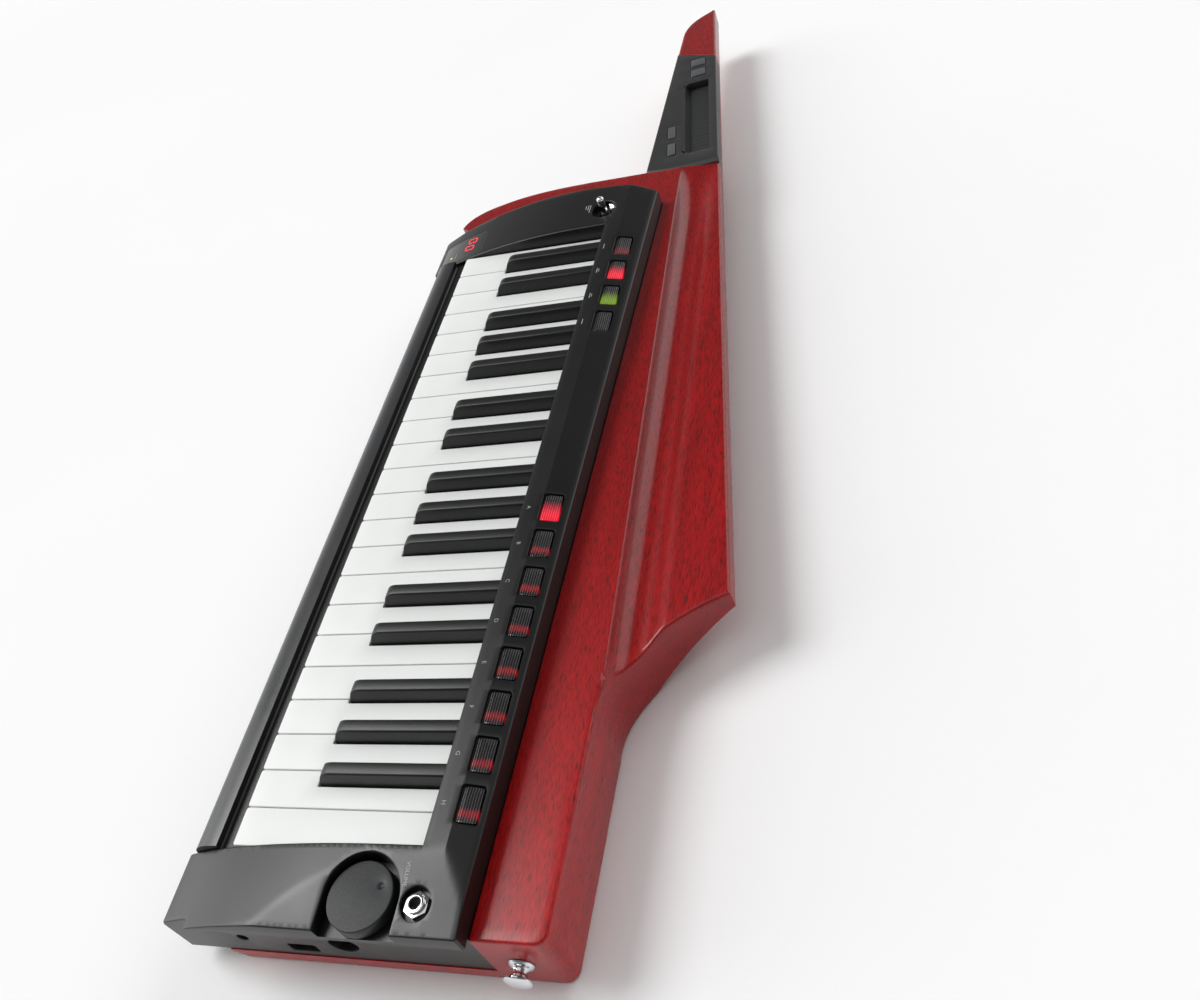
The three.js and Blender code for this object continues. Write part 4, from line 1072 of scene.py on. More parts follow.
@dataclass
class ControlPanel:
    """The black moulding that frames the keys, with its recesses and sockets."""

    tail: float = 498.4
    front: float = -33.0
    bottom: float = -39.7
    window: tuple[float, float] = (-1.0, 458.0)
    key_rear: float = 114.0
    cavity_rear: float = 125.7
    slope_start: float = 462.0
    slope_top: float = 11.2
    slope_fall: float = 5.6
    face: float = 493.5
    lip_bottom: float = -4.5
    lip: float = 1.5
    lip_front: float = -13.4
    plate: float = 477.5
    dial_pocket: tuple[float, float, float] = (482.2, 87.6, 20.2)
    pocket_floor: float = -1.0
    display: tuple[float, float] = (-16.8, -9.6)
    tongue_socket: tuple[float, float] = (39.5, -31.5)
    ring_socket: tuple[float, float] = (66.0, -24.0)
    pin_socket: tuple[float, float] = (8.0, -24.0)

    def section(self) -> np.ndarray:
        """Give the panel's section as rows of Y and Z, from the front edge to the rear."""
        brow = bezier([(self.front, -12.0), (0, 3.36), (50.2, 9.8), (91.2, 10.8)], 60)
        return np.vstack([brow, [(114, self.slope_top), CREASE, (146, 6.6), (154, 4.54)]])

    def tail_fall(self, x: np.ndarray) -> np.ndarray:
        """Give the height of the slope that ends the tail block."""
        run = self.tail - self.slope_start
        return self.slope_top - self.slope_fall * (x - self.slope_start) / run

    def top(self, x: np.ndarray, y: np.ndarray) -> np.ndarray:
        """Give the panel's height: the lower of its section and the tail slope, blended."""
        line = self.section()
        along = np.interp(y, line[:, 0], line[:, 1])
        fall = self.tail_fall(np.maximum(x, 440.0))
        gap = np.abs(along - fall)
        return np.minimum(along, fall) - np.clip(0.35 - gap, 0, None) ** 2 / 1.4

    def under(self, x: np.ndarray, y: np.ndarray) -> np.ndarray:
        """Give the underside: deep, but thin over the keys' heels and at the tail's lip."""
        low, high = self.window
        away = np.maximum.reduce([low - x, x - high, self.key_rear - y, y - self.cavity_rear])
        roof = np.interp(away, [0.0, 0.2], [9.7, self.bottom])
        share = np.interp(x, [self.plate - 0.2, self.plate], [0.0, 1.0])
        lip = self.bottom + (self.lip_under(y) - self.bottom) * share
        return np.maximum(roof, lip)

    def lip_under(self, y: np.ndarray) -> np.ndarray:
        """Give the underside of the tail's lip: level, but close under the falling brow."""
        line = self.section()
        return np.minimum(self.lip_bottom, np.interp(y, line[:, 0], line[:, 1]) - self.lip)

    def facet(self, drop: float) -> Height:
        """Give a floor that follows the strip's outer facet at a depth below it."""
        return lambda x, y: facet_height(y) - drop

    def dial_notch(self) -> np.ndarray:
        """Trace the dial's pocket from its wing side round to the player's side."""
        x, y, r = self.dial_pocket
        arc = circle(x, y, r, 120)[30:91]
        return np.vstack([[self.tail, y + r - 1.3], arc, [self.tail, y - r - 1.3]])

    def outline(self) -> np.ndarray:
        """Trace the panel in plan, open at the front where the keys are."""
        low, high = self.window
        side = bezier(PANEL_SIDE, 50)
        corner = bezier([(-40, -26), (-40, -33), (-40, -33), (-33, -33)], 10)[1:]
        loop = np.vstack([
            [high, self.front], [self.face - 0.8, self.front], [self.face, self.front + 0.8],
            [self.face, self.lip_front - 0.5], [self.face + 0.5, self.lip_front],
            [self.tail - 0.8, self.lip_front], [self.tail, self.lip_front + 0.8],
            self.dial_notch()[::-1], [self.tail, 139.4], [self.tail - 1.0, 140.4], side, corner,
            [low - 0.8, self.front], [low, self.front + 0.8], [low, self.key_rear - 0.2],
            [low, self.key_rear], [high, self.key_rear], [high, self.key_rear - 0.2],
            [high, self.front + 0.8]])
        loop[0, 0] = high + 0.8
        return densify(loop, 3.0)

    def inner_points(self) -> np.ndarray:
        """Lay points over the panel's top, closer on the brow, the creases and the slope."""
        rows = np.concatenate([np.arange(self.front + 1, 20, 1.8), np.arange(20, 112, 4.0),
                               [112.5, 114.5, 118, 122, 125.6, 126.2, 126.6, 127.0, 127.6]])
        columns = np.concatenate([np.arange(-56, 458, 4.0), np.arange(459, 499, 2.0)])
        rear = lattice(columns, np.array([-14.0, -10.5, -7.0, -3.5]))
        corner_x, corner_y = PANEL_SIDE[0]
        rear[:, 1] += corner_y - (rear[:, 0] - corner_x) * 5.6 / (self.tail - corner_x)
        points = np.vstack([lattice(columns, rows), rear])
        return points[(points[:, 0] < self.face - 0.5) | (points[:, 1] > self.lip_front + 0.5)]

    def cap_pocket(self, x: float) -> Pocket:
        """Shape the shallow pocket and the close well of one cap."""
        well = rounded_box(CAP_SIZE[0] + 0.5, CAP_SIZE[1] + 0.5, 1.3, 4) + (x, CAP_ROW)
        foot = rounded_box(19.2, 11.6, 1.6) + (x, CAP_ROW)
        return Pocket(foot, self.facet(1.9), lip=0.4, flare=0.2,
                      nested=[Pocket(well, self.facet(5.6), lip=0.0)])

    def pockets(self, caps: Sequence[float], lever: tuple[float, float],
                jack: tuple[float, float]) -> list[Pocket]:
        """Shape every recess in the panel's top."""
        found = [self.cap_pocket(x) for x in caps]
        for place, radius, floor, bore in (
                (lever, 9.2, 6.4, Pocket(circle(*lever, 5.2), level(0.4), lip=0.3)),
                (jack, 7.8, 4.4, Pocket(circle(*jack, 3.3), level(-4.0), lip=0.2))):
            found.append(Pocket(circle(*place, radius), level(floor), lip=0.5, nested=[bore]))
        pane, points = self.display_plan(0.3, 1.6)
        found.append(Pocket(pane, lambda x, y: self.top(x, y) - 0.8, lip=0.25, inner=points))
        return found

    def display_plan(self, spare: float, radius: float) -> tuple[np.ndarray, np.ndarray]:
        """Outline the display's window, wider by what is spare, and lay points over it."""
        loop = rounded_box(24.9 + spare, 37.9 + spare, radius) + self.display
        return densify(loop, 2.0), lattice(np.arange(-28, -5, 3.0), np.arange(-28, 9, 1.5))

    def tail_plate(self) -> Shell:
        """Build the set-back tail face with its three sockets.

        The plate is shaped in its own plane, Y across and Z up, and then turned so that its
        thickness runs along X.
        """
        deep = level(self.face - 14.0)
        shapes = [densify(rounded_box(16, 8, 1.2) + self.tongue_socket, 2.0),
                  circle(*self.ring_socket, 7.6), circle(*self.pin_socket, 3.1, 32)]
        across = np.linspace(0.0, self.front, 16)
        slope = np.column_stack([across, self.lip_under(across) + 0.1])
        corners = np.vstack([[(self.front, self.bottom), (140.4, self.bottom),
                              (140.4, self.lip_bottom)], slope])
        flat = plan_form(densify(corners, 6.0), level(self.face), level(self.plate),
                         pockets=[Pocket(shape, deep, lip=0.5) for shape in shapes])
        return flat.moved(lambda p: p[:, [2, 0, 1]])

    def build(self, finishes: Finishes, caps: Sequence[float], lever: tuple[float, float],
              jack: tuple[float, float]) -> None:
        """Build the moulding, the dial's pocket floor and the tail plate."""
        outline = self.outline()
        low, high = self.window
        cavity = [lattice(np.arange(low, high + 1, 9.0), np.array([115.0, 120.0, 125.5, 126.1])),
                  lattice(np.array([-1.3, -0.9, 457.9, 458.3]), np.arange(115, 126, 3.0)),
                  lattice(np.array([self.plate - 0.3, self.plate + 0.1]),
                          np.arange(-31, 140, 4.0))]
        main = plan_form(outline, self.top, self.under, upper=Edge(0.7, steps=3),
                         pockets=self.pockets(caps, lever, jack), inner=self.inner_points(),
                         inner_low=np.vstack(cavity))
        floor = plan_form(densify(self.dial_notch(), 3.0), level(self.pocket_floor),
                          level(self.lip_bottom))
        make_piece("panel_moulding", [main, floor, self.tail_plate()], finishes.panel,
                   replaces=["control_panel"], sharp=30.0)


# ---------------------------------------------------------------- keys

@dataclass
class KeyBed:
    """The white and black keys, and the chassis with its front rail that carries them."""

    pitch: float = 20.8
    white_count: int = 22
    gap: float = 0.3
    rear: float = 125.2
    rail_rear: float = -10.6
    notch_front: float = 37.6
    notch_half: float = 5.7
    hinge: tuple[float, float] = (121.0, -7.0)
    groove: float = 2.5
    bar: float = 2.2
    half: float = 4.8
    skirt: float = -5.0
    heel: float = -9.6
    hinge_rows: Sequence[float] = (113.8, 118.45, 118.6, 119.2, 120.0, 121.0, 122.0, 122.8,
                                   123.4, 123.55)
    black_shifts: dict[int, float] = field(
        default_factory=lambda: {1: -2.3, 2: 2.3, 4: -3.2, 5: 0.0, 6: 3.2})

    def black_places(self) -> dict[int, float]:
        """Give the X of each black key by the boundary between white keys that it stands on."""
        return {b: b * self.pitch + self.black_shifts[b % 7]
                for b in range(1, self.white_count) if b % 7 in self.black_shifts}

    def white_under(self, x: np.ndarray, y: np.ndarray) -> np.ndarray:
        """Give a white key's underside: front lip, thin top, heel and hinge groove."""
        return self.grooved(y, np.interp(y, [0, 2.9, 3.1, 107, 113.8, self.rear],
                                         [-11, -11, -3, -3, self.heel, self.heel]))

    def grooved(self, y: np.ndarray, line: np.ndarray) -> np.ndarray:
        """Cut the hinge's groove, a half round about its bar, into an underside."""
        reach = np.clip(self.groove ** 2 - (y - self.hinge[0]) ** 2, 0, None)
        return np.where(reach > 0, self.hinge[1] + np.sqrt(reach), line)

    def white_shell(self, index: int, blacks: dict[int, float]) -> Shell:
        """Build one white key with the notches for the black keys beside it."""
        low, high = index * self.pitch + self.gap, (index + 1) * self.pitch - self.gap
        left, right = low, high
        if index in blacks:
            left = blacks[index] + self.notch_half
        if index + 1 in blacks:
            right = blacks[index + 1] - self.notch_half
        corners = [(low, 0.0, 1.5), (high, 0.0, 1.5)]
        if right < high:
            corners += [(high, self.notch_front, 0.5), (right, self.notch_front, 0.6)]
        corners += [(right, self.rear, 0.2), (left, self.rear, 0.2)]
        if left > low:
            corners += [(left, self.notch_front, 0.6), (low, self.notch_front, 0.5)]
        table = np.array(corners)
        loop = densify(filleted(table[:, :2], table[:, 2], 5), 5.0)
        middle = (loop + np.roll(loop, -1, axis=0)) / 2
        run = np.where(middle[:, 1] < 0.4, 0.8, 0.55)
        rows = np.array([2.9, 3.1, 20, 36, 60, 90, 107, *self.hinge_rows, 124.5])
        inner = lattice(np.linspace(low + 1.5, high - 1.5, 4), rows)
        return plan_form(loop, level(0.0), self.white_under, upper=Edge(run, steps=4),
                         inner_low=inner)

    def black_shell(self) -> Shell:
        """Build one black key about X 0 by carrying its section along the key.

        At each station the section is a skirt, two leaning sides, two quarter-round shoulders
        and a slightly crowned top, at the height that the nose's side view gives there.
        """
        nose = np.vstack([[38.7, 0.0],
                          bezier([(39.1, 1.2), (40.8, 6.4), (42.8, 9.0), (48.0, 9.0)], 14),
                          [80.0, 9.0], [self.rear - 0.4, 9.0], [self.rear, 8.6]])
        y, z = nose.T
        turn = np.linspace(0, math.pi / 2, 5)
        half = self.half - 1.2 * z / 9.0
        r = np.minimum(1.1, np.maximum(z, 0.02) * 0.5)
        shoulder_x = half[:, None] - r[:, None] * (1 - np.cos(turn))[None]
        shoulder_z = z[:, None] - r[:, None] * (1 - np.sin(turn))[None]
        crown = 0.12 * np.minimum(z, 1.0)
        side_x = np.column_stack([np.full((len(y), 2), self.half), shoulder_x])
        side_z = np.column_stack([np.full(len(y), self.skirt), np.full(len(y), -0.2),
                                  shoulder_z])
        xs = np.column_stack([side_x, np.zeros(len(y)), -side_x[:, ::-1]])
        zs = np.column_stack([side_z, z + crown, side_z[:, ::-1]])
        points = np.stack([xs, np.broadcast_to(y[:, None], xs.shape), zs], axis=-1)
        return gridded(points, caps=True)

    def heel_shell(self) -> Shell:
        """Build a black key's heel, with the groove that turns on the hinge bar."""
        half, rows = self.half, np.array(self.hinge_rows)

        def under(x: np.ndarray, y: np.ndarray) -> np.ndarray:
            """Fall from the skirt to the heel, with the groove's arc."""
            return self.grooved(y, np.interp(y, [107, 113.8], [-5.1, self.heel]))

        loop = densify(np.vstack([[(-half, 107.0), (half, 107.0)], lattice([half], rows),
                                  [(half, self.rear), (-half, self.rear)],
                                  lattice([-half], rows[::-1])]), 6.0)
        return plan_form(loop, level(-4.0), under, inner_low=lattice([-2.0, 2.0], rows))

    def chassis_shell(self) -> Shell:
        """Build the chassis: front rail, ledge, stop rail and hinge bar in one section."""
        rail = bezier([(-10.4, -1.1), (-19.6, -1.1), (-28, -4.2), (-28, -12)], 24)
        turn = np.linspace(0, math.pi, 17)
        bar = self.bar * np.stack([np.cos(turn), np.sin(turn)], axis=1) + self.hinge
        section = np.vstack([
            [(-28, -39.7), (124.9, -39.7), (124.9, -12.2), (123.2, -12.2)], bar,
            [(118.8, -12.2), (117.5, -12.2), (117.5, -36.7), (31, -36.7), (31, -9.4),
             (22, -9.4), (22, -36.7), (-10.4, -36.7), (-10.4, -8.2), (-1.4, -8.2),
             (-1.4, -5.6), (-9.6, -5.6), (-10.4, -5.0)], rail])
        return swept(section, -0.7, 457.7)

    def build(self, finishes: Finishes) -> None:
        """Build the chassis and every key."""
        chassis = make_piece("rail_and_chassis", [self.chassis_shell()], finishes.rail,
                             replaces=["key_chassis"], sharp=30.0)
        self.darken_ledge(chassis, finishes.ledge)
        blacks = self.black_places()
        for index in range(self.white_count):
            node = f"white_key_{index + 1}"
            make_piece(f"ivory_{index + 1}", [self.white_shell(index, blacks)], finishes.white,
                       body=node, replaces=[node], sharp=35.0)
        shape, heel = self.black_shell(), self.heel_shell()
        for number, x in enumerate(blacks.values(), start=1):
            node = f"black_key_{number}"
            shift = np.array([x, 0.0, 0.0])
            make_piece(f"ebony_{number}", [shape.moved(lambda p: p + shift),
                                           heel.moved(lambda p: p + shift)], finishes.black,
                       body=node, replaces=[node], sharp=40.0)

    def darken_ledge(self, chassis: bpy.types.Object, ledge: bpy.types.Material) -> None:
        """Give the faces behind the rail the speckled finish of the ledge."""
        mesh = chassis.data
        mesh.materials.append(ledge)
        y = (read_vectors(mesh.polygons, "center")[:, 1] - DATUM[1]) / MM
        lengthwise = np.abs(read_vectors(mesh.polygons, "normal")[:, 0]) < 0.5
        behind = (y > self.rail_rear) & lengthwise
        mesh.polygons.foreach_set("material_index", behind.astype(np.int32))


# ---------------------------------------------------------------- strip controls

@dataclass
class StripCaps:
    """The lens caps of the strip, in their pockets on its outer facet."""

    row: float = CAP_ROW
    length: float = CAP_SIZE[0]
    width: float = CAP_SIZE[1]
    sunk: float = 0.7
    lean: float = 0.7
    lean_edge: float = -2.9
    functions: Sequence[float] = tuple(25 + 25.7 * i for i in range(4))
    programs: Sequence[float] = tuple(258 + 25.6 * i for i in range(8))

    def shell(self) -> Shell:
        """Build one cap flat: a body whose top leans down towards the player on one side.

        The lean is a straight fall over the nearer part of the width.
        """
        loop = densify(rounded_box(self.length, self.width, 1.1), 2.0)
        half = self.width / 2

        def top(x: np.ndarray, y: np.ndarray) -> np.ndarray:
            """Level on the wing side, falling towards the player from the crease."""
            return -self.sunk - self.lean * np.clip((self.lean_edge - y) / (
                self.lean_edge + half), 0, 1)

        inner = lattice(np.linspace(-self.length / 2 + 1, self.length / 2 - 1, 6),
                        np.array([-half + 0.7, self.lean_edge - 0.15, self.lean_edge,
                                  self.lean_edge + 0.15, half - 0.7]))
        return plan_form(loop, top, level(-4.4), inner=inner, upper=Edge(0.35, steps=3))

    def placed(self, shell: Shell, x: float) -> Shell:
        """Tilt a cap to the facet and set it in its pocket."""
        tilt = -math.atan(FACET_SLOPE)
        c, s = math.cos(tilt), math.sin(tilt)
        turn = np.array([[1, 0, 0], [0, c, -s], [0, s, c]])
        return shell.moved(lambda p: p @ turn.T + (x, self.row, facet_height(self.row)))

    def lamps(self) -> dict[str, tuple[float, Lamp]]:
        """Give each cap's place and lamp by its node."""
        states = [Lamp.EMBER, Lamp.RED, Lamp.GREEN, Lamp.DARK]
        caps = {f"function_button_{i + 1}": (x, states[i]) for i, x in enumerate(self.functions)}
        caps.update({f"program_button_{i + 1}": (x, Lamp.GLIMMER if i else Lamp.RED)
                     for i, x in enumerate(self.programs)})
        return caps

    def build(self, finishes: Finishes) -> None:
        """Build every cap."""
        flat = self.shell()
        for node, (x, lamp) in self.lamps().items():
            piece = make_piece("lens_" + node, [self.placed(flat, x)], finishes.lenses[lamp],
                               body=node, replaces=[node], sharp=45.0)
            unwrap(piece, (x - self.length / 2, self.row - self.width / 2),
                   (x + self.length / 2, self.row + self.width / 2))


# ---------------------------------------------------------------- neck

@dataclass
class NeckControls:
    """The neck panel with its ribbon recess and its four caps."""

    body: WoodenBody
    top: float = -6.0
    bottom: float = -15.5
    ribbon: tuple[float, float, float, float] = (-150.6, 156.2, 101.5, 19.4)
    depth: float = 6.0
    slant: float = 2.8
    caps: Sequence[tuple[float, float, float, float]] = (
        (-231.0, 146.2, 10.0, 12.0), (-215.0, 148.4, 10.0, 12.0),
        (-130.8, 138.6, 15.5, 6.0), (-107.6, 141.8, 15.5, 6.0))

    def turn(self) -> np.ndarray:
        """Give the turn in plan that lines pieces up with the neck's outer edge."""
        angle = math.atan2(88.0, 626.0)
        return np.array([[math.cos(angle), -math.sin(angle)], [math.sin(angle), math.cos(angle)]])

    def placed_loop(self, loop: np.ndarray, x: float, y: float) -> np.ndarray:
        """Turn a loop with the neck and set it at a place."""
        return loop @ self.turn().T + (x, y)

    def top_of(self, x: np.ndarray, y: np.ndarray) -> np.ndarray:
        """Give the panel's height: flat, rolling down towards its curved end."""
        seam = self.body.neck_seam(0.0)
        end = np.interp(y, seam[:, 1], seam[:, 0])
        near = np.clip(5.0 - (end - x), 0, None)
        return self.top - 2.0 * (near / 5.0) ** 2

    def panel_shell(self) -> Shell:
        """Build the panel with its recesses."""
        end = self.body.neck_seam(0.0)
        run = np.array([*[0.5] * (len(end) - 1), 0.8, self.body.seam_round, 0.8])
        loop, run = divided(np.vstack([end, self.body.tip_seam(0.0)[::-1]]), run, 3.0)
        x, y, length, width = self.ribbon
        foot = densify(rounded_box(length, width - self.slant, 0.8) + (0, self.slant / 2), 4.0)
        middle = (foot + np.roll(foot, -1, axis=0)) / 2
        flare = np.where(middle[:, 1] < -width / 2 + self.slant + 0.2, self.slant, 0.0)
        pockets = [Pocket(self.placed_loop(foot, x, y), level(self.top - self.depth), lip=0.35,
                          flare=flare)]
        pockets += [Pocket(self.placed_loop(rounded_box(l + 0.9, w + 0.9, 1.0), cx, cy),
                           level(self.top - 4.1), lip=0.3) for cx, cy, l, w in self.caps]
        rows = lattice(np.array([0.5, 1.5, 2.5, 3.5, 4.5, 5.5, 8.0]), np.arange(127, 182, 3.0))
        rows[:, 0] = np.interp(rows[:, 1], end[:, 1], end[:, 0]) - rows[:, 0]
        return plan_form(loop, self.top_of, level(self.bottom), upper=Edge(run, steps=4),
                         pockets=pockets, inner=rows)

    def film_shell(self) -> Shell:
        """Build the ribbon film on the recess floor, with shallow ridges across it."""
        x, y, length, width = self.ribbon
        wide = width - self.slant - 1.2

        def top(px: np.ndarray, py: np.ndarray) -> np.ndarray:
            """A film with round ridges every 5 mm, worked out along the neck."""
            along = (px - x) * self.turn()[0, 0] + (py - y) * self.turn()[1, 0]
            return self.top - self.depth + 0.35 + 0.1 * np.cos(2 * math.pi * along / 5.0)

        loop = densify(rounded_box(length - 1.2, wide, 0.8) + (0, self.slant / 2), 3.0)
        inner = lattice(np.arange(-length / 2 + 1, length / 2 - 1, 0.7),
                        np.linspace(-wide / 2 + 1, wide / 2 - 1, 3) + self.slant / 2)
        return plan_form(self.placed_loop(loop, x, y), top, level(self.top - self.depth - 0.1),
                         upper=Edge(0.25, steps=2), inner=self.placed_loop(inner, x, y))

    def cap_shell(self, cap: tuple[float, float, float, float]) -> Shell:
        """Build one soft-edged cap, crowned a little across its middle."""
        x, y, length, width = cap
        loop = self.placed_loop(densify(rounded_box(length, width, 0.9), 2.0), x, y)

        def top(px: np.ndarray, py: np.ndarray) -> np.ndarray:
            """A crown that falls with the square of the distance from the middle."""
            away = ((px - x) ** 2 + (py - y) ** 2) / (max(length, width) / 2) ** 2
            return self.top + 0.8 - 0.25 * away

        inner = self.placed_loop(lattice(np.linspace(-length / 2 + 1.2, length / 2 - 1.2, 7),
                                         np.linspace(-width / 2 + 1.2, width / 2 - 1.2, 5)), x, y)
        return plan_form(loop, top, level(self.top - 2.9), upper=Edge(0.6, steps=4), inner=inner)

    def build(self, finishes: Finishes) -> None:
        """Build the neck's panel, film and caps."""
        make_piece("neck_moulding", [self.panel_shell()], finishes.neck,
                   replaces=["neck_panel"], sharp=30.0)
        make_piece("ribbon_film", [self.film_shell()], finishes.ribbon,
                   sharp=30.0)
        for number, cap in enumerate(self.caps, start=1):
            node = f"neck_button_{number}"
            make_piece(f"neck_cap_{number}", [self.cap_shell(cap)], finishes.grey,
                       body=node, replaces=[node], sharp=40.0)


# ---------------------------------------------------------------- turned fittings

@dataclass
class Fittings:
    """The dial, the octave lever, the output jack and the strap pins."""

    dial: tuple[float, float, float] = (481.4, 86.2, 6.4)
    lever: tuple[float, float] = (-19.5, 109.5)
    lever_centre: float = 6.3
    jack: tuple[float, float] = (484.0, 117.0)
    jack_floor: float = 4.4

    def dial_shell(self) -> Shell:
        """Build the dial: a flat round with an eased edge, a dimple and a spindle.

        The dimple is a bowl whose depth falls with the square of the distance from its middle.
        """
        x, y, z = self.dial
        mark = np.array([x - 5.2, y + 9.6])

        def top(px: np.ndarray, py: np.ndarray) -> np.ndarray:
            """The dial's face with its dimple."""
            away = ((px - mark[0]) ** 2 + (py - mark[1]) ** 2) / 2.0 ** 2
            return z - 0.9 * np.clip(1 - away, 0, None) ** 1.5

        rings = [circle(*mark, r, 24) for r in (0.01, 0.5, 1.0, 1.4, 1.8, 2.1)]
        return plan_form(circle(x, y, 17.0, 120), top, level(z - 7.1), upper=Edge(0.7, steps=4),
                         lower=Edge(0.6, steps=2), inner=np.vstack(rings))

    def lever_shell(self) -> Shell:
        """Build the lever's rod, a little thicker at its rounded tip."""
        tip = 14.9
        turn = np.linspace(0, NEAR_QUARTER, 7)[:-1]
        end = np.stack([2.75 * np.cos(turn), tip + 2.0 * np.sin(turn) - 1.7], axis=1)
        profile = np.vstack([[(0.0, 2.0), (2.2, 2.0), (2.2, 3.4)], end, [(0.0, tip + 0.3)]])
        x, y = self.lever
        return turned(profile, 40).moved(lambda p: p + (x, y, self.lever_centre))

    def boot_shell(self) -> Shell:
        """Build the ball that the rod stands in, rounded over towards the rod."""
        turn = np.linspace(-NEAR_QUARTER, 0.85, 16)[1:]
        ball = 3.6 * np.stack([np.cos(turn), np.sin(turn)], axis=1)
        x, y = self.lever
        return turned([(0.0, -3.6), *ball, (0.0, 3.0)], 40).moved(
            lambda p: p + (x, y, self.lever_centre))

    def highlight_arc_shell(self) -> Shell:
        """Build a dished chrome arc on the recess's far side: a painted highlight for the collar.
        """
        turn = np.radians(np.linspace(60.0, 165.0, 30))
        dish = bezier([(8.2, 8.9), (7.2, 8.4), (6.3, 7.4), (6.0, 6.9)], 8)
        section = np.vstack([[(6.0, 6.3), (8.9, 6.3), (8.9, 8.6), (8.8, 8.9), (8.5, 9.0)], dish])
        points = revolved(section, turn).swapaxes(0, 1) + (*self.lever, 0.0)
        return gridded(points, caps=True)

    def jack_shells(self) -> list[Shell]:
        """Build the jack's hexagon nut and its bush with an open bore."""
        x, y = self.jack
        z = self.jack_floor
        nut = plan_form(circle(x, y, 6.6, 6), level(z + 2.6), level(z - 0.05),
                        upper=Edge(0.4, steps=2),
                        pockets=[Pocket(circle(x, y, 4.75, 32), level(z + 0.2), lip=0.0)])
        bush = hoop(eased([(3.3, 0.0), (4.7, 0.0), (4.7, 4.2), (3.3, 4.2)], [0.0, 0.5], 4))
        return [nut, bush.moved(lambda p: p + (x, y, z + 0.1))]

    def sleeve_shell(self) -> Shell:
        """Build the black sleeve that lines the jack's bore."""
        sleeve = hoop([(2.7, -3.9), (3.35, -3.9), (3.35, 4.0), (2.7, 4.0)])
        return sleeve.moved(lambda p: p + (*self.jack, self.jack_floor))

    def pin_shell(self) -> Shell:
        """Build a strap pin standing on the origin: collar, waisted stem and domed head."""
        waist = bezier([(6.3, 0.9), (4.2, 1.5), (3.7, 2.2), (3.7, 3.6)], 8)[1:]
        flare = bezier([(3.7, 4.4), (3.9, 5.6), (5.2, 6.6), (7.0, 7.1)], 8)
        dome = bezier([(7.0, 7.7), (6.6, 8.6), (4.0, 9.2), (0.0, 9.2)], 10)
        profile = np.vstack([[(0, 0), (6.3, 0)], waist, flare, dome])
        return turned(profile, 48)

    def build(self, finishes: Finishes) -> None:
        """Build every turned fitting."""
        pin = self.pin_shell()
        tail_pin = pin.moved(lambda p: p[:, [2, 0, 1]] + (494.3, 157.3, -29.0))
        neck_pin = pin.moved(lambda p: p[:, [2, 1, 0]] * (-1, 1, 1) + (-81.9, 92.0, -21.0))
        bright, dark = (finishes.chrome, "chrome"), (finishes.socket, "black_socket")
        lever = "octave_lever"
        for name, shells, (finish, slot), body, replaces, sharp in (
                ("dial_knob", [self.dial_shell()], (finishes.dial, "black_panel"),
                 "volume_dial", ["volume_dial"], 35.0),
                ("lever_rod", [self.lever_shell()], bright, lever, [lever], 40.0),
                ("lever_boot", [self.boot_shell()], dark, lever, [], 40.0),
                # A chrome arc only where the collar catches light: a painted highlight, not a full
                # ring.
                ("lever_ring", [self.highlight_arc_shell()], bright, CHASSIS, [], 40.0),
                ("jack_bush", self.jack_shells(), bright, CHASSIS, [], 35.0),
                ("jack_sleeve", [self.sleeve_shell()], dark, CHASSIS, [], 35.0),
                ("tail_pin", [tail_pin], bright, CHASSIS, ["tail_strap_pin"], 35.0),
                ("shoulder_pin", [neck_pin], bright, CHASSIS, [], 35.0)):
            make_piece(name, shells, finish, body=body, replaces=replaces, sharp=sharp)


# ---------------------------------------------------------------- display and marks

@dataclass
class DisplayCorner:
    """The smoked window at the brow's corner, its two figures and its pilot light."""

    panel: ControlPanel

    def on_brow(self, loop: np.ndarray, lift: float, thick: float,
                inner: np.ndarray = np.zeros((0, 2))) -> Shell:
        """Lay a thin plate over the brow at a lift above it."""
        top = self.panel.top
        return plan_form(loop, lambda x, y: top(x, y) + lift,
                         lambda x, y: top(x, y) + lift - thick, inner=inner, inner_low=inner)

    def figure(self, x: float, y: float) -> list[Shell]:
        """Build a nought of six segments about a place, slanted as such figures are.

        It reads along X, with its top away from the player.
        """
        across, tall, wide = 4.7, 7.6, 0.95
        ends = [((-1, -1), (1, -1)), ((-1, 1), (1, 1)), ((-1, -1), (-1, 0)), ((-1, 0), (-1, 1)),
                ((1, -1), (1, 0)), ((1, 0), (1, 1))]
        shells = []
        for start, end in ends:
            a = np.array(start) * (across / 2, tall / 2)
            b = np.array(end) * (across / 2, tall / 2)
            way = (b - a) / np.linalg.norm(b - a)
            side = np.array([-way[1], way[0]]) * wide / 2
            a, b = a + way * 0.55, b - way * 0.55
            loop = np.array([a - way * 0.35, a - side, b - side, b + way * 0.35, b + side,
                             a + side])
            loop[:, 0] += loop[:, 1] * 0.16
            shells.append(self.on_brow(loop + (x, y), 0.06, 0.12))
        return shells

    def build(self, finishes: Finishes) -> None:
        """Build the window, the figures and the pilot light."""
        loop, points = self.panel.display_plan(0.0, 1.5)
        pane = self.on_brow(loop, -0.04, 0.7, points)
        make_piece("display_pane", [pane], finishes.window, sharp=30.0)
        figures = self.figure(-23.2, -1.6) + self.figure(-15.3, -2.6)
        make_piece("display_figures", figures, finishes.digit, sharp=30.0)
        light = self.on_brow(circle(-12.4, -19.6, 0.9, 20), 0.1, 0.2)
        make_piece("pilot_light", [light], finishes.pilot, sharp=30.0)


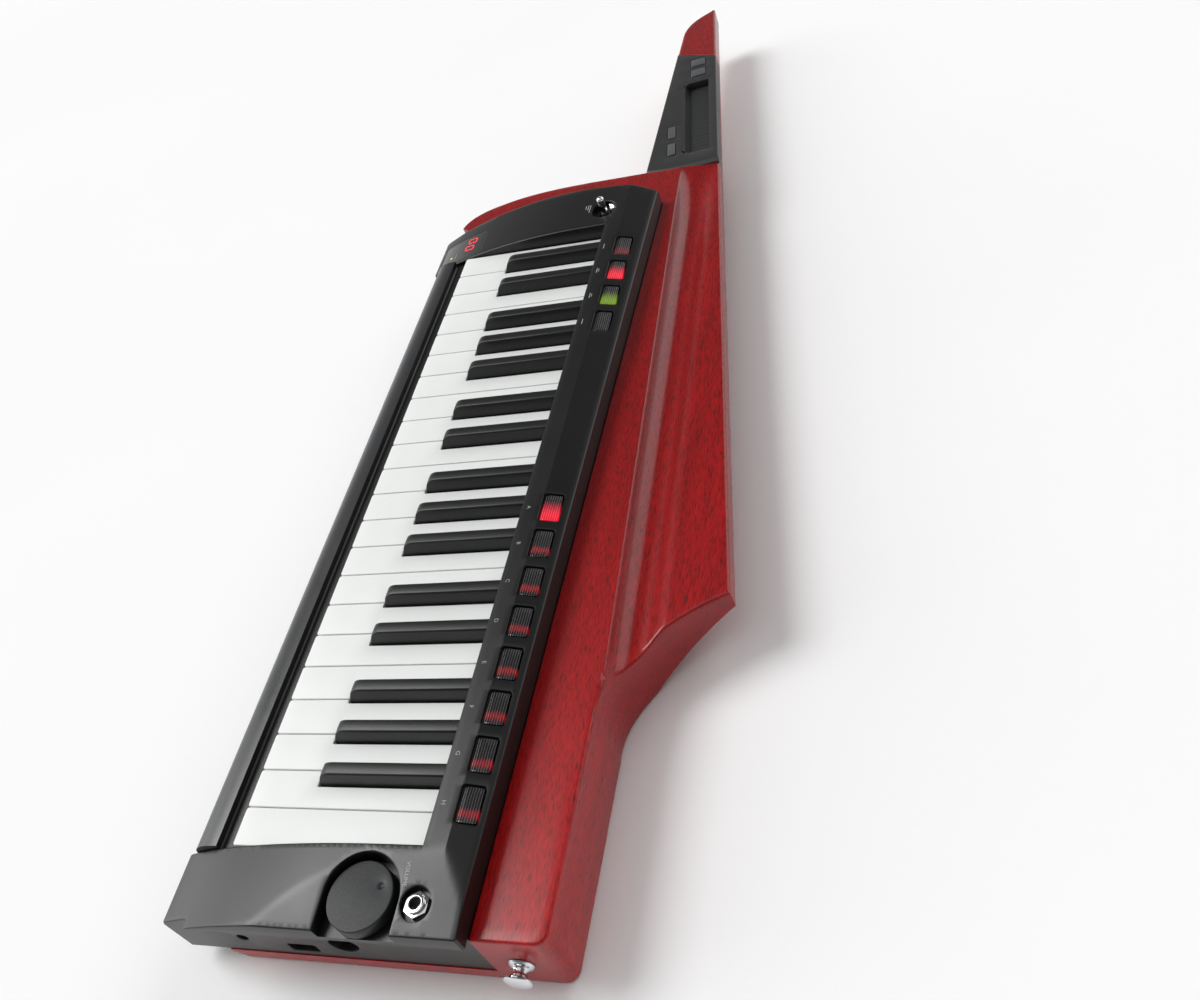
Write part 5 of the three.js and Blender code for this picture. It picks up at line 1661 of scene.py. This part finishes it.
@dataclass
class PrintedMarks:
    """Small printed letters and strokes beside the controls."""

    panel: ControlPanel
    letters: str = "ABCDEFGH"
    size: float = 3.4
    lift: float = 0.04

    def letter(self, text: str, x: float, y: float, size: float,
               material: bpy.types.Material) -> None:
        """Lay lettering on the panel, reading from the player's side.

        Args:
            text: letters.
            x, y: their middle.
            size: height of the type.
            material: ink.
        """
        curve = bpy.data.curves.new("mark_" + text, "FONT")
        curve.body = text
        curve.size = size
        curve.align_x = "CENTER"
        curve.align_y = "CENTER"
        curve.resolution_u = 3
        source = bpy.data.objects.new("mark_source", curve)
        mesh = bpy.data.meshes.new_from_object(source)
        bpy.data.objects.remove(source)
        plan = read_vectors(mesh.vertices, "co")[:, :2] + (x, y)
        z = self.panel.top(plan[:, 0], plan[:, 1]) + self.lift
        mesh.vertices.foreach_set("co", (DATUM + np.column_stack([plan, z]) * MM).ravel())
        mesh.materials.append(material)
        piece = add_object("mark_" + text, mesh)
        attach(piece, CHASSIS)

    def stroke(self, x: float, y: float, length: float, width: float) -> Shell:
        """Lay a short printed stroke along X."""
        top = self.panel.top
        loop = densify(rounded_box(length, width, width * 0.4, 3) + (x, y), 1.5)
        return plan_form(loop, lambda px, py: top(px, py) + self.lift,
                         lambda px, py: top(px, py) - 0.05)

    def build(self, finishes: Finishes, caps: StripCaps) -> None:
        """Print the letters beside the program caps and strokes beside the other controls."""
        for text, x in zip(self.letters, caps.programs):
            self.letter(text, x, 118.6, self.size, finishes.print)
        self.letter("VOLUME", 471.5, 109.4, 2.9, finishes.print)
        strokes = [self.stroke(*row) for row in (
            *((x, 118.4, 5.0, 0.6) for x in caps.functions),
            *((x, 119.8, 3.0, 0.5) for x in caps.functions[1:3]), (-24.0, 96.6, 6.0, 0.6),
            (-22.5, 98.2, 9.0, 0.6), (-24.5, 94.8, 4.0, 0.6), (-12.0, -15.0, 6.0, 0.45))]
        make_piece("printed_strokes", strokes, finishes.print, sharp=30.0)


@dataclass
class SocketInserts:
    """The contacts inside the three sockets of the tail face."""

    panel: ControlPanel
    floor: float = 13.9

    def along_x(self, shell: Shell, y: float, z: float, depth: float) -> Shell:
        """Turn a form that stands on Z so that it faces the tail at a depth in its socket."""
        return shell.moved(lambda p: p[:, [2, 0, 1]] + (self.panel.face - depth, y, z))

    def build(self, finishes: Finishes) -> None:
        """Build the tongue, the ring of contacts and the centre pin."""
        tongue = plan_form(rounded_box(9.0, 2.6, 0.4, 3), level(10.0), level(0.0),
                           upper=Edge(0.3, steps=2))
        disc = turned([(0, 0), (6.6, 0), (6.6, 5.8), (6.4, 6.0), (0, 6.0)], 40)
        dark = [self.along_x(tongue, *self.panel.tongue_socket, self.floor),
                self.along_x(disc, *self.panel.ring_socket, self.floor)]
        make_piece("socket_inserts", dark, finishes.socket)
        pin = turned([(0, 0), (0.75, 0), (0.75, 6.6), (0.5, 7.0), (0, 7.0)], 16)
        y, z = self.panel.ring_socket
        bright = [self.along_x(pin, y + 4.4 * math.cos(a), z - 4.4 * math.sin(a), 10.5)
                  for a in np.radians([0.0, 45.0, 90.0, 135.0, 180.0])]
        bright.append(self.along_x(pin, *self.panel.pin_socket, self.floor))
        make_piece("socket_contacts", bright, finishes.chrome)


# ---------------------------------------------------------------- studio

@dataclass
class Studio:
    """The camera of the photograph, plain soft lamps, a pale floor and a white surround."""

    camera_place: tuple[float, float, float] = (668.083, 404.605, 482.742)
    right: tuple[float, float, float] = (-0.18503, 0.92991, -0.31785)
    down: tuple[float, float, float] = (0.73671, -0.08280, -0.67112)
    forward: tuple[float, float, float] = (-0.65040, -0.35834, -0.66975)
    focal: float = 1212.1 / 1200
    floor_half: float = 6.0
    sky: Sequence[tuple[float, str]] = ((0.0, "#ffffff"), (0.12, "#dadada"), (0.3, "#8e8e8e"),
                                        (0.5, "#686868"), (1.0, "#5c5c5c"))

    def add_camera(self) -> None:
        """Create the camera from the photograph's solved view."""
        lens = bpy.data.cameras.new("camera")
        lens.sensor_fit = "HORIZONTAL"
        lens.sensor_width = 36.0
        lens.lens = 36.0 * self.focal
        lens.shift_y = -0.05
        lens.clip_end = 50.0
        camera = add_object("camera", lens)
        axes = (Vector(self.right), -Vector(self.down), -Vector(self.forward))
        matrix = Matrix(axes).transposed().to_4x4()
        matrix.translation = Vector(DATUM + np.array(self.camera_place) * MM)
        camera.matrix_world = matrix
        bpy.context.scene.camera = camera

    def add_lamp(self, name: str, towards: Sequence[float], spread: float,
                 power: float) -> None:
        """Hang a soft lamp so far away that it lights the whole keyboard evenly.

        Args:
            name: lamp name.
            towards: direction in which the lamp stands.
            spread: how wide it looks from the keyboard, in degrees.
            power: watts per square metre.
        """
        light = bpy.data.lights.new(name, "SUN")
        light.angle = math.radians(spread)
        light.energy = power
        lamp = add_object(name, light)
        lamp.rotation_euler = Vector(towards).to_track_quat("Z", "Y").to_euler()

    def add_surround(self) -> None:
        """Make the surround: white low down, like the paper sweep, and dimmer overhead.

        The brightness follows the height of the direction, which is the sine of its angle
        above the floor.
        """
        world = bpy.data.worlds.new("surround")
        bpy.context.scene.world = world
        world.use_nodes = True
        tree = world.node_tree
        place = add_node(tree, "ShaderNodeTexCoord").outputs["Generated"]
        height = add_node(tree, "ShaderNodeSeparateXYZ", inputs={"Vector": place}).outputs["Z"]
        sky = add_node(tree, "ShaderNodeValToRGB", inputs={"Fac": height}, stops=self.sky)
        background = tree.nodes["Background"]
        tree.links.new(sky.outputs["Color"], background.inputs["Color"])
        background.inputs["Strength"].default_value = 1.0

    def add_floor(self) -> None:
        """Lay the pale floor just under the back, white to the camera but for its shadow."""
        mesh = bpy.data.meshes.new("floor")
        low, half = CAD_BOX[0][2] - 0.5 * MM, self.floor_half
        mesh.from_pydata([(-half, -half, low), (half, -half, low), (half, half, low),
                          (-half, half, low)], [], [(0, 1, 2, 3)])
        floor = add_object("floor", mesh)
        material, tree, shader = new_material("pale_paper_sweep")
        cloud = add_node(tree, "ShaderNodeTexNoise", inputs={
            "Vector": stretched(tree, (400.0,) * 3), "Scale": 1.0})
        colour = add_node(tree, "ShaderNodeValToRGB", inputs={"Fac": cloud.outputs["Fac"]}, stops=[
            (0.3, "#f8f8f8"), (0.7, "#fbfbfb")])
        tree.links.new(colour.outputs["Color"], shader.inputs["Base Color"])
        shader.inputs["Roughness"].default_value = 0.9
        mesh.materials.append(material)

    def build(self) -> None:
        """Set up the whole studio."""
        bpy.context.scene.view_settings.view_transform = "Standard"
        self.add_camera()
        self.add_surround()
        self.add_floor()
        for name, towards, spread, power in (
                ("player_side_softbox", (-0.15, -0.62, 0.77), 27.0, 1.7),
                ("low_softbox", (0.0, -0.93, 0.37), 46.0, 1.1),
                ("overhead_softbox", (0.15, -0.1, 0.98), 60.0, 0.55),
                ("neck_side_softbox", (-0.69, 0.5, 0.5), 44.0, 0.8)):
            self.add_lamp(name, towards, spread, power)


def main() -> None:
    """Light the studio, build the keyboard in order and report each piece."""
    logging.basicConfig(level=logging.INFO, format="%(name)s: %(message)s")
    Studio().build()
    finishes = Finishes()
    wood, panel, caps, fittings = WoodenBody(), ControlPanel(), StripCaps(), Fittings()
    places = ([*caps.functions, *caps.programs], fittings.lever, fittings.jack)
    known = set(bpy.data.objects.keys())
    for part, needs in ((wood, ()), (panel, places), (KeyBed(), ()), (caps, ()),
                        (NeckControls(wood), ()), (fittings, ()), (DisplayCorner(panel), ()),
                        (PrintedMarks(panel), (caps,)), (SocketInserts(panel), ())):
        part.build(finishes, *needs)
        found = set(bpy.data.objects.keys())
        for name in sorted(found - known):
            LOG.info("%s: %s", type(part).__name__, name)
        known = found
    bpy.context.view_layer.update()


if __name__ == "__main__":
    main()
